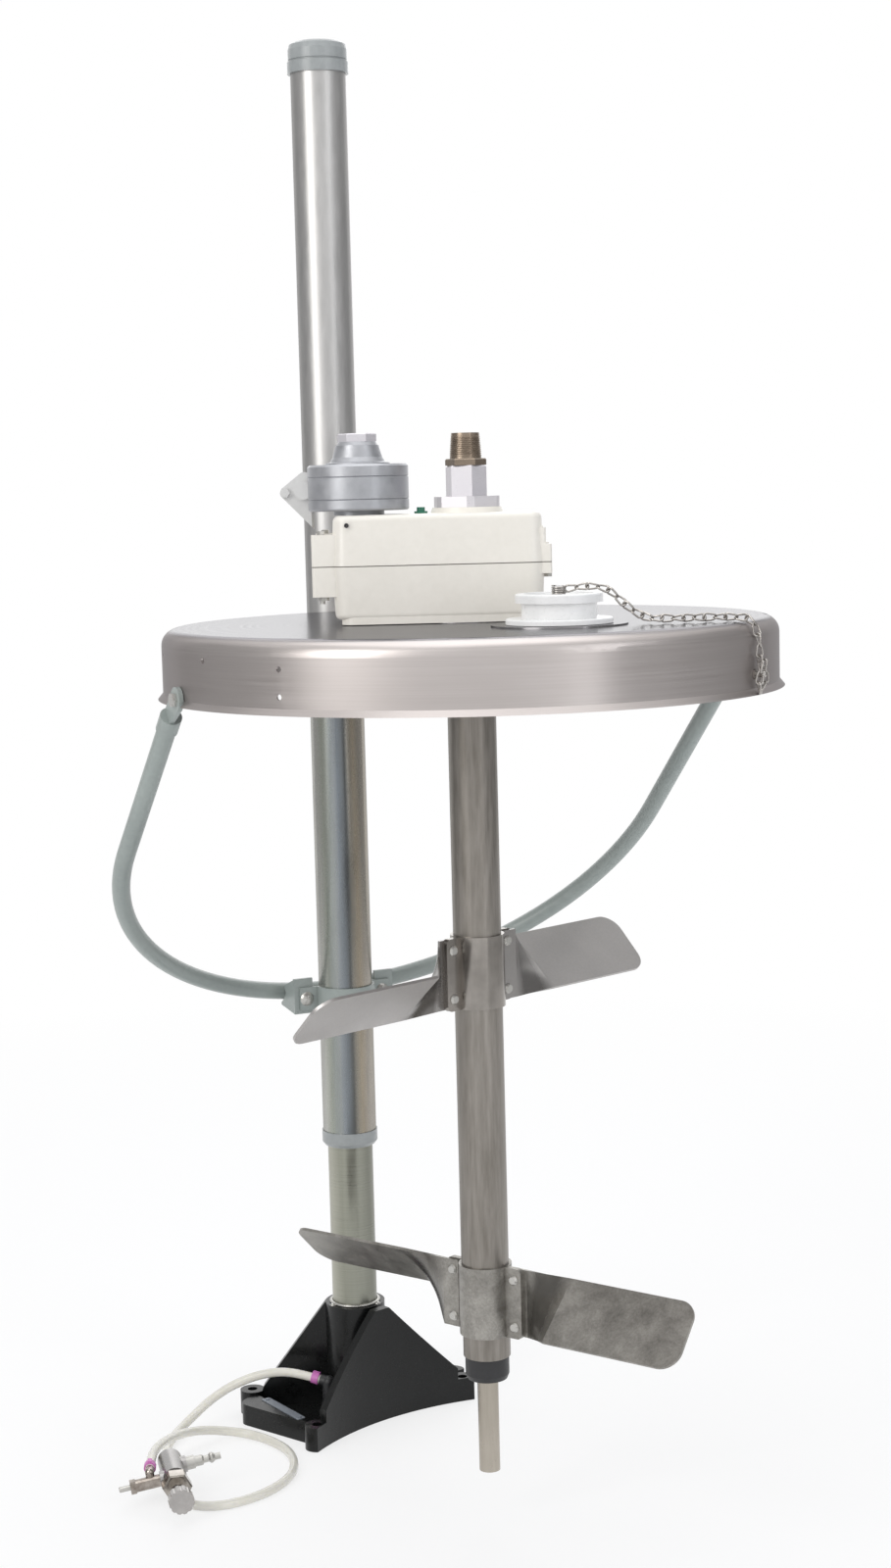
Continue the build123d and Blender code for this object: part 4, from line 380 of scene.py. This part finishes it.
MATS = {
    "cast_black": cast_material(),
    "post_zinc": post_material(),
    "lift_grey": lift_material(),
    "cap_steel": paint("cap_grey_paint", rgb(140, 144, 144), rgb(162, 166, 166), 0.34, 0.2, 0.08, 160.0),
    "cover_steel": cover_material(),
    "shaft_steel": shaft_material(),
    "siphon_steel": metal("siphon_drawn", rgb(156, 149, 138), rgb(186, 179, 168), 0.32,
                          stretch=(1, 1, 0.1), bump=0.04, fine=160.0),
    "blade_steel": blade_material(),
    "brace_paint": paint("brace_grey_paint", rgb(138, 146, 143), rgb(156, 164, 160), 0.38, 0.2, 0.03, 140.0),
    "cream_paint": paint("gearbox_cream", rgb(233, 229, 219), rgb(243, 239, 230), 0.36, 0.3, 0.05, 130.0),
    "motor_grey": metal("motor_cast_grey", rgb(156, 158, 162), rgb(182, 183, 187), 0.38, bump=0.1,
                        metallic=0.65),
    "nickel": metal("nickel_plate", rgb(208, 205, 209), rgb(216, 213, 217), 0.34,
                    stretch=(1, 1, 3), bump=0.005, fine=300.0, metallic=0.4),
    "bronze": metal("bronze_turned", rgb(124, 111, 98), rgb(156, 142, 127), 0.28, (1, 1, 10), metallic=0.9),
    "zinc_screw": metal("zinc_plate", rgb(176, 175, 170), rgb(204, 202, 198), 0.3, bump=0.03, metallic=0.85),
    "chrome": metal("chrome_plate", rgb(146, 142, 138), rgb(184, 180, 176), 0.2, bump=0.02, metallic=0.95),
    "bare_plate": metal("plate_bare", rgb(122, 128, 136), rgb(146, 152, 160), 0.45, (20, 1, 1), metallic=0.2),
    "black_rubber": plastic("rubber_black", rgb(24, 24, 24), rgb(40, 40, 40), 0.6, 0.12),
    "black_plastic": plastic("plastic_black", rgb(26, 26, 28), rgb(44, 44, 46), 0.4),
    "bearing_bronze": metal("bearing_bronze", rgb(150, 122, 78), rgb(178, 150, 100), 0.3),
    "gear_steel": metal("gear_steel", rgb(120, 120, 120), rgb(150, 150, 150), 0.32),
    "gasket_grey": plastic("gasket_fibre", rgb(96, 92, 84), rgb(120, 116, 106), 0.7, 0.2),
    "white_plastic": plastic("plastic_white", rgb(236, 236, 235), rgb(246, 246, 245), 0.3, 0.01),
    "green_plastic": plastic("plastic_green", rgb(34, 104, 82), rgb(52, 130, 104), 0.38),
    "hose_clear": hose_material(),
    "clamp_pink": plastic("plastic_pink", rgb(196, 104, 178), rgb(216, 132, 198), 0.35),
}
# finishes that differ from their slot's usual one
OWN = {
    "bung_ring": MATS["cover_steel"],
    "brace_strap": MATS["brace_paint"],
    "lever_plate": metal("plate_light_zinc", rgb(206, 206, 205), rgb(224, 224, 223), 0.4, metallic=0.4),
    "valve_body": metal("valve_body_brushed", rgb(150, 148, 147), rgb(182, 180, 179), 0.3,
                        stretch=(40, 1, 1), bump=0.04, fine=60.0),
    # painted reflection: dark and light blotches in the bonnet's colour stand in for the dark surroundings it
    # reflects
    "valve_bonnet": metal("bonnet_nickel_painted_reflection", rgb(138, 132, 124), rgb(190, 184, 177), 0.17,
                          bump=0.02, spot=40.0),
    "valve_knob": metal("knob_polished", rgb(160, 157, 155), rgb(194, 191, 188), 0.2, bump=0.02),
    # painted reflection: the tee's dark and light blotches stand in for what its plating reflects, with
    # painted highlights
    "valve_tee": metal("tee_painted_reflection", rgb(120, 110, 102), rgb(186, 179, 172), 0.16, bump=0.03, spot=60.0),
    "valve_plunger": MATS["zinc_screw"],
    "bottom_bushing": MATS["black_plastic"],
    # painted reflection: darker, with dark and light blotches standing in for the contrast of its reflections
    "clamp_upper": metal("clamp_polished_painted_reflection", rgb(132, 128, 123), rgb(166, 161, 156), 0.2,
                         stretch=(1, 1, 0.1), bump=0.03, fine=90.0, spot=30.0),
}

for sub in frame["record"]["subparts"]:
    obj = nodes[sub["node"]]
    obj.data.materials.clear()
    obj.data.materials.append(OWN.get(sub["node"], MATS[sub["material_slot"]]))


# ------------------------------------------------------------------ pieces
def piece(name, mesh_or_curve, body, slot, smooth=True):
    """Put a piece in the scene on its body, with its slot's material; a blended piece has no one body."""
    obj = bpy.data.objects.new(name, mesh_or_curve)
    bpy.context.scene.collection.objects.link(obj)
    obj.data.materials.append(MATS[slot])
    if smooth and obj.type == "MESH":
        for poly in obj.data.polygons:
            poly.use_smooth = True
    if body:
        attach(obj, body)
    return obj


def mesh_from(made, name):
    """Turn a bmesh into a mesh with its faces all outward."""
    bmesh.ops.recalc_face_normals(made, faces=made.faces)
    mesh = bpy.data.meshes.new(name)
    made.to_mesh(mesh)
    made.free()
    return mesh


def skin(made, loops, closed=True):
    """Join loops of as many points with four-sided faces, one loop to the next."""
    count = len(loops[0])
    for a, b in zip(loops, loops[1:] + loops[:1] if closed else loops[1:]):
        for j in range(count):
            made.faces.new((a[j], b[j], b[(j + 1) % count], a[(j + 1) % count]))


def nurbs(name, points, radius):
    """A round wire or tube along a smooth route."""
    curve = bpy.data.curves.new(name, "CURVE")
    curve.dimensions = "3D"
    curve.resolution_u = 10
    curve.bevel_depth = radius
    curve.bevel_resolution = 5
    spline = curve.splines.new("NURBS")
    spline.points.add(len(points) - 1)
    for control, point in zip(spline.points, points):
        control.co = (*point, 1.0)
    spline.order_u = 3
    spline.use_endpoint_u = True
    curve.use_fill_caps = True
    return curve


# ------------------------------------------------------------------ air hose
HOSE_RADIUS = 0.005
HOSE_ROUTE = [
    (-0.0570, -0.0296, 0.0544), (-0.0740, -0.0136, 0.0589), (-0.095, 0.001, 0.061), (-0.119, 0.014, 0.056),
    (-0.144, 0.025, 0.0455), (-0.168, 0.031, 0.031), (-0.189, 0.029, 0.017), (-0.210, 0.018, 0.008),
    (-0.229, -0.003, 0.005), (-0.244, -0.033, 0.005), (-0.255, -0.072, 0.005), (-0.265, -0.115, 0.005),
    (-0.273, -0.155, 0.005), (-0.268, -0.186, 0.005), (-0.243, -0.202, 0.005), (-0.210, -0.200, 0.005),
    (-0.176, -0.187, 0.005), (-0.147, -0.163, 0.005), (-0.129, -0.130, 0.005), (-0.122, -0.092, 0.005),
    (-0.129, -0.055, 0.005), (-0.143, -0.027, 0.0055), (-0.166, -0.014, 0.009), (-0.193, -0.017, 0.016),
    (-0.221, -0.031, 0.023), (-0.247, -0.053, 0.028), (-0.270, -0.081, 0.032), (-0.286, -0.111, 0.034),
    (-0.296, -0.138, 0.033),
]
hose = piece("air_hose_line", nurbs("air_hose_line", HOSE_ROUTE, HOSE_RADIUS), "base", "hose_clear")
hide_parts("air_hose")


# ------------------------------------------------------------------ retaining chain
LINK_PITCH, LINK_WIRE, LINK_WIDTH = 0.0100, 0.0021, 0.0094
LINK_LEAN, LINK_UNEVEN, LINK_TWIST = 45, 9, 50             # degrees


def gearbox_point(along, aside, z):
    """A point in the gearbox's own directions, from the agitator's axis, in metres."""
    turn = Matrix.Rotation(GEARBOX_TURN, 3, "Z")
    return AXIS + turn @ Vector((along, aside, 0)) + Vector((0, 0, z))


def skirt_point(out, z, turn=0.0):
    """A point outside the cover's skirt, near the hook."""
    angle = HOOK_ANGLE + math.radians(turn)
    return AXIS + Vector((out * math.cos(angle), out * math.sin(angle), z))


def follow(name, points, step):
    """Points at even steps along the NURBS line through a route, each with its direction."""
    curve = nurbs(name, points, 0.0)
    curve.use_fill_caps = False
    curve.resolution_u = 24
    holder = bpy.data.objects.new(name, curve)
    mesh = bpy.data.meshes.new_from_object(holder)
    line = [v.co.copy() for v in mesh.vertices]
    bpy.data.objects.remove(holder)
    bpy.data.meshes.remove(mesh)
    found, due, gone = [], step / 2, 0.0
    for a, b in zip(line, line[1:]):
        run = (b - a).length
        while run and gone + run >= due:
            found.append((a.lerp(b, (due - gone) / run), (b - a).normalized()))
            due += step
        gone += run
    return found


def add_link(mesh, centre, along, up, roll, length, width, wire, twist):
    """One twisted link: an oval of wire, its plane turning along its length."""
    side = up.cross(along).normalized()
    up = along.cross(side).normalized()
    straight, half = (length - width) / 2, (width - 2 * wire) / 2 + wire / 2
    steps, ring = 28, 8
    loops = []
    for i in range(steps):
        angle = 2 * math.pi * i / steps
        x = half * math.cos(angle) + math.copysign(straight, math.cos(angle))
        y = half * math.sin(angle)
        turned = roll + twist * x / length
        across = side * math.cos(turned) + up * math.sin(turned)
        normal = up * math.cos(turned) - side * math.sin(turned)
        outward = along * math.cos(angle) + across * math.sin(angle)
        spot = centre + along * x + across * y
        loops.append([mesh.verts.new(spot + (outward * math.cos(t) + normal * math.sin(t)) * wire / 2)
                      for t in (2 * math.pi * j / ring for j in range(ring))])
    skin(mesh, loops)


def chain_mesh(name, points):
    """Twisted links along a route, each turned a quarter from the one before it and a little unevenly."""
    made = bmesh.new()
    up = Vector((0, 0, 1))
    rng = random.Random(7)
    for i, (centre, along) in enumerate(follow(name + "_line", points, LINK_PITCH)):
        if abs(along.dot(up)) > 0.8:
            up = (centre - AXIS - Vector((0, 0, centre.z))).normalized()
        roll = math.radians((LINK_LEAN if i % 2 else -LINK_LEAN) + rng.uniform(-LINK_UNEVEN, LINK_UNEVEN))
        add_link(made, centre, along, up, roll, LINK_PITCH + 2 * LINK_WIRE, LINK_WIDTH, LINK_WIRE,
                 math.radians(LINK_TWIST))
        side = up.cross(along)
        up = along.cross(side).normalized()
    return mesh_from(made, name)


CHAIN_ROUTE = [
    gearbox_point(BUNG_ALONG + 0.0068, BUNG_ASIDE, BUNG_TOP + 0.0036),
    gearbox_point(BUNG_ALONG + 0.024, BUNG_ASIDE - 0.001, BUNG_TOP + 0.0065),
    gearbox_point(BUNG_ALONG + 0.045, BUNG_ASIDE - 0.004, BUNG_TOP + 0.0042),
    gearbox_point(BUNG_ALONG + 0.060, BUNG_ASIDE - 0.006, BUNG_TOP - 0.011),
    gearbox_point(BUNG_ALONG + 0.078, BUNG_ASIDE - 0.010, COVER_TOP + 0.0056),
    gearbox_point(BUNG_ALONG + 0.098, BUNG_ASIDE - 0.022, COVER_TOP + 0.0048),
    skirt_point(COVER_RADIUS - 0.026, COVER_TOP + 0.0048),
    skirt_point(COVER_RADIUS - 0.001, COVER_TOP + 0.0034),
    skirt_point(COVER_RADIUS + 0.0055, COVER_TOP - 0.018),
    skirt_point(COVER_RADIUS + 0.0052, HOOK_Z + 0.022),
    skirt_point(COVER_RADIUS + 0.006, HOOK_Z + 0.0066),
]
chain = piece("bung_chain", chain_mesh("bung_chain", CHAIN_ROUTE), None, "chrome")
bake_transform(chain)
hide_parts("retaining_chain")

# the spare end of the chain, bunched under the hook
SPARE_ROUTE = [
    skirt_point(COVER_RADIUS + 0.0075, HOOK_Z + 0.012, -0.5),
    skirt_point(COVER_RADIUS + 0.009, HOOK_Z + 0.002, -1.1),
    skirt_point(COVER_RADIUS + 0.006, HOOK_Z - 0.012, -0.9),
    skirt_point(COVER_RADIUS + 0.006, HOOK_Z - 0.017, 0.1),
    skirt_point(COVER_RADIUS + 0.008, HOOK_Z - 0.008, 1.0),
    skirt_point(COVER_RADIUS + 0.0085, HOOK_Z + 0.008, 0.9),
]
piece("chain_spare_end", chain_mesh("chain_spare_end", SPARE_ROUTE), "mast", "chrome")


# ------------------------------------------------------------------ small turned and drawn details
def lathe(name, profile, centre, axis, body, slot, steps=64):
    """A closed ring turned from a profile of (radius, height) points about an axis."""
    made = bmesh.new()
    turn = Vector((0, 0, 1)).rotation_difference(Vector(axis).normalized()).to_matrix()
    loops = []
    for i in range(steps):
        angle = 2 * math.pi * i / steps
        points = [Vector((r * math.cos(angle), r * math.sin(angle), h)) for r, h in profile]
        loops.append([made.verts.new(Vector(centre) + turn @ point) for point in points])
    skin(made, loops)
    return piece(name, mesh_from(made, name), body, slot)


def coil_points(centre, radius, turns, rise, steps=20):
    """Points on a helix about the upright through centre."""
    total = int(turns * steps)
    angles = [2 * math.pi * i / steps for i in range(total + 1)]
    return [centre + Vector((radius * math.cos(angle), radius * math.sin(angle), rise * i / total))
            for i, angle in enumerate(angles)]


# the wire coil that ties the chain to the bung
COIL_RADIUS, COIL_TURNS, COIL_RISE, COIL_WIRE = 0.0062, 5.5, 0.0105, 0.0008
coil_foot = gearbox_point(BUNG_ALONG, BUNG_ASIDE, BUNG_TOP - 0.0035)
coil_route = coil_points(coil_foot, COIL_RADIUS, COIL_TURNS, COIL_RISE)
piece("bung_wire_coil", nurbs("bung_wire_coil", coil_route, COIL_WIRE), "bung", "chrome")

# the nipple's taper thread: a helical ridge on the cone
NIPPLE_LOW, NIPPLE_HIGH = 1.0826, 1.1042
NIPPLE_FOOT_RADIUS, NIPPLE_END_RADIUS = 0.01545, 0.01385
THREAD_TURNS, THREAD_STEPS = 12, 48
THREAD_SINK, THREAD_HEIGHT = 0.0002, 0.00055
# the ridge's section: height as a share of the pitch, and whether the point is on the crest
THREAD_SECTION = ((-0.44, False), (-0.08, True), (0.08, True), (0.44, False))


def thread_mesh(name):
    """The ridge, sunk a little in the cone and fading out over its first and last turn."""
    made = bmesh.new()
    total = THREAD_TURNS * THREAD_STEPS
    pitch = (NIPPLE_HIGH - NIPPLE_LOW) / THREAD_TURNS
    rings = []
    for i in range(total + 1):
        part = i / total
        angle = 2 * math.pi * i / THREAD_STEPS
        root = NIPPLE_FOOT_RADIUS + (NIPPLE_END_RADIUS - NIPPLE_FOOT_RADIUS) * part
        z = NIPPLE_LOW + (NIPPLE_HIGH - NIPPLE_LOW) * part
        out = Vector((math.cos(angle), math.sin(angle), 0))
        fade = min(1.0, i / THREAD_STEPS, (total - i) / THREAD_STEPS)
        rings.append([])
        for share, on_crest in THREAD_SECTION:
            reach = root + (THREAD_HEIGHT * fade if on_crest else -THREAD_SINK)
            rings[-1].append(made.verts.new(AXIS + out * reach + Vector((0, 0, z + pitch * share))))
    skin(made, rings, closed=False)
    made.faces.new(rings[0])
    made.faces.new(rings[-1][::-1])
    return mesh_from(made, name)


piece("nipple_thread", thread_mesh("nipple_thread"), "mast", "bronze", smooth=False)

# the pale sealing ring where the post enters the socket
SEAL_PROFILE = [(0.0256, 0.1301), (0.0285, 0.1301), (0.0292, 0.1308), (0.0289, 0.1318), (0.0268, 0.1326),
                (0.0256, 0.1326)]
lathe("post_seal_ring", SEAL_PROFILE, (0, 0, 0), (0, 0, 1), "base", "zinc_screw")

# the small dark plug on the gearbox's front
PLUG_PROFILE = [(0.0001, 0.0012), (0.0011, 0.0012), (0.0016, 0.0017), (0.0021, 0.0014), (0.0023, 0.0),
                (0.0001, 0.0)]
front_out = Matrix.Rotation(GEARBOX_TURN, 3, "Z") @ Vector((0, -1, 0))
plug_seat = gearbox_point(-0.116, -0.0582, 1.0195) - front_out * 0.0003
lathe("gearbox_vent_hole", PLUG_PROFILE, plug_seat, front_out, "mast", "black_plastic", 32)

# the gearbox's foot ring, which closes the gap above the cover
FOOT_LEFT, FOOT_RIGHT, FOOT_HALF_WIDTH, FOOT_CORNER = -0.1235, 0.0655, 0.0546, 0.012
FOOT_BOTTOM, FOOT_TOP = 0.9238, 0.9318
CORNER_STEPS = 8


def foot_mesh(name):
    """A block with rounded upright corners, in the gearbox's own directions."""
    corners = ((FOOT_RIGHT, 1), (FOOT_LEFT, 1), (FOOT_LEFT, -1), (FOOT_RIGHT, -1))
    outline = []
    for quarter, (end, sign) in enumerate(corners):
        middle = Vector((end - math.copysign(FOOT_CORNER, end), sign * (FOOT_HALF_WIDTH - FOOT_CORNER), 0))
        for i in range(CORNER_STEPS + 1):
            angle = math.radians(90 * quarter + 90 * i / CORNER_STEPS)
            outline.append(middle + Vector((math.cos(angle), math.sin(angle), 0)) * FOOT_CORNER)
    made = bmesh.new()
    low, high = [[made.verts.new(gearbox_point(p.x, p.y, z)) for p in outline]
                 for z in (FOOT_BOTTOM, FOOT_TOP)]
    made.faces.new(low)
    made.faces.new(high[::-1])
    skin(made, [low, high], closed=False)
    return mesh_from(made, name)


piece("gearbox_foot_ring", foot_mesh("gearbox_foot_ring"), "mast", "cream_paint", smooth=False)


# ------------------------------------------------------------------ studio
FLOOR_HALF, FLOOR_Z = 9.0, -0.0005
# to the camera the floor is this white out to the near distance, and wholly white from the far one
FLOOR_WHITE, FLOOR_NEAR, FLOOR_FAR = 0.72, 1.0, 2.4


def floor_material():
    """Pale and matt; the camera sees it nearly white, still with the object's shadow on it."""
    made = Mat("studio_floor", rough=0.9)
    made.colour(made.ramp(made.noise(made.mapping(), 1.5, 3), (0.3, (0.97,) * 3), (0.7, (0.9797,) * 3)))
    glow = made.node("ShaderNodeEmission")
    glow.inputs["Color"].default_value = (1, 1, 1, 1)
    glow.inputs["Strength"].default_value = 1.0
    blend = made.node("ShaderNodeMixShader")
    path = made.node("ShaderNodeLightPath")
    seen = made.math("ADD", path.outputs["Is Camera Ray"], path.outputs["Is Glossy Ray"])
    seen = made.math("ADD", seen, path.outputs["Is Transmission Ray"], clamp=True)
    fade = made.remap(made.distance((0, 0)), FLOOR_NEAR, FLOOR_FAR, FLOOR_WHITE, 1.0)
    made.link(made.math("MULTIPLY", seen, fade), blend.inputs[0])
    made.link(made.bsdf.outputs[0], blend.inputs[1])
    made.link(glow.outputs[0], blend.inputs[2])
    made.link(blend.outputs[0], made.out.inputs["Surface"])
    return made.mat


floor_mesh = bpy.data.meshes.new("studio_floor")
floor_corners = [(x * FLOOR_HALF, y * FLOOR_HALF, FLOOR_Z) for x, y in ((-1, -1), (1, -1), (1, 1), (-1, 1))]
floor_mesh.from_pydata(floor_corners, [], [(0, 1, 2, 3)])
floor = bpy.data.objects.new("studio_floor", floor_mesh)
bpy.context.scene.collection.objects.link(floor)
floor.data.materials.append(floor_material())


def make_world():
    """Soft light all round; the camera, reflections and clear things see plain white."""
    world = bpy.data.worlds.new("studio_world")
    bpy.context.scene.world = world
    world.use_nodes = True
    tree = world.node_tree
    tree.nodes.clear()
    out = tree.nodes.new("ShaderNodeOutputWorld")
    blend = tree.nodes.new("ShaderNodeMixShader")
    path = tree.nodes.new("ShaderNodeLightPath")
    for socket, colour, strength in ((1, (0.93, 0.95, 1.0, 1), 0.55), (2, (1, 1, 1, 1), 1.0)):
        light = tree.nodes.new("ShaderNodeBackground")
        light.inputs["Color"].default_value = colour
        light.inputs["Strength"].default_value = strength
        tree.links.new(light.outputs[0], blend.inputs[socket])
    seen = path.outputs["Is Camera Ray"]
    for ray in ("Is Glossy Ray", "Is Transmission Ray"):
        both = tree.nodes.new("ShaderNodeMath")
        both.operation = "ADD"
        both.use_clamp = True
        tree.links.new(seen, both.inputs[0])
        tree.links.new(path.outputs[ray], both.inputs[1])
        seen = both.outputs[0]
    tree.links.new(seen, blend.inputs[0])
    tree.links.new(blend.outputs[0], out.inputs["Surface"])


make_world()


def lamp(name, at, toward, width, height, energy, colour=(1, 1, 1)):
    """A soft lamp, a lit rectangle facing a point."""
    light = bpy.data.lights.new(name, "AREA")
    light.shape = "RECTANGLE"
    light.size = width
    light.size_y = height
    light.energy = energy
    light.color = colour
    obj = bpy.data.objects.new(name, light)
    obj.location = at
    obj.rotation_euler = (Vector(toward) - Vector(at)).to_track_quat("-Z", "Y").to_euler()
    bpy.context.scene.collection.objects.link(obj)


# the camera looks along forward, rolled a little about it
forward = Vector((math.cos(CAMERA_HEADING) * math.cos(CAMERA_TILT),
                  math.sin(CAMERA_HEADING) * math.cos(CAMERA_TILT), -math.sin(CAMERA_TILT)))
right = Vector((math.sin(CAMERA_HEADING), -math.cos(CAMERA_HEADING), 0))
down = forward.cross(right)
image_right = right * math.cos(CAMERA_ROLL) + down * math.sin(CAMERA_ROLL)
image_down = down * math.cos(CAMERA_ROLL) - right * math.sin(CAMERA_ROLL)
camera_data = bpy.data.cameras.new("camera")
camera_data.sensor_fit = "VERTICAL"
camera_data.sensor_height = SENSOR_HEIGHT
camera_data.lens = CAMERA_LENS
camera_data.clip_end = 50
camera = bpy.data.objects.new("camera", camera_data)
bpy.context.scene.collection.objects.link(camera)
turn = Matrix((image_right, -image_down, -forward)).transposed().to_4x4()
camera.matrix_world = Matrix.Translation(CAMERA_PLACE) @ turn
bpy.context.scene.camera = camera

target = Vector((0.0, -0.25, 0.8))
to_camera = Vector((-forward.x, -forward.y, 0)).normalized()
side = Vector((right.x, right.y, 0)).normalized()
lamp("key_left", target + to_camera * 2.2 - side * 2.2 + Vector((0, 0, 1.3)), target, 1.6, 2.4, 42,
     (1, 0.985, 0.96))
lamp("fill_right", target + to_camera * 2.0 + side * 2.4 + Vector((0, 0, 0.7)), target, 1.4, 2.4, 26,
     (0.97, 0.98, 1))
lamp("top_soft", target + Vector((0, 0, 2.6)), target, 2.6, 2.6, 30)
lamp("rear_soft", target - to_camera * 2.4 + Vector((0, 0, 1.2)), target, 2.0, 2.0, 14)

CARD_DISTANCE, CARD_LOW, CARD_HIGH = 3.0, -0.5, 3.4


def flag(name, start, end, shade):
    """A grey card bent round the object that only reflections see: it draws the dark bands on metal tubes.

    It runs from start to end, in degrees round the target from the camera's side, positive to the right.
    """
    steps = 24
    rim = []
    for i in range(steps + 1):
        angle = math.radians(start + (end - start) * i / steps)
        spot = to_camera * math.cos(angle) + side * math.sin(angle)
        rim.append(target + spot * CARD_DISTANCE)
    verts = [(p.x, p.y, z) for z in (CARD_LOW, CARD_HIGH) for p in rim]
    faces = [(i, i + 1, steps + 2 + i, steps + 1 + i) for i in range(steps)]
    mesh = bpy.data.meshes.new(name)
    mesh.from_pydata(verts, [], faces)
    card = bpy.data.objects.new(name, mesh)
    bpy.context.scene.collection.objects.link(card)
    made = Mat(name, rough=1.0)
    made.colour(made.ramp(made.noise(made.mapping(), 1.0, 2), (0.3, (0.0,) * 3), (0.7, (0.01,) * 3)))
    made.set("Emission Color", (shade, shade, shade, 1))
    made.set("Emission Strength", 1.0)
    made.set("Specular IOR Level", 0.0)
    card.data.materials.append(made.mat)
    card.visible_camera = False
    card.visible_diffuse = False
    card.visible_shadow = False
    card.visible_transmission = False


flag("flag_left", -60, -130, 0.42)
flag("flag_right", 42, 132, 0.36)

bpy.context.scene.view_settings.view_transform = "Standard"
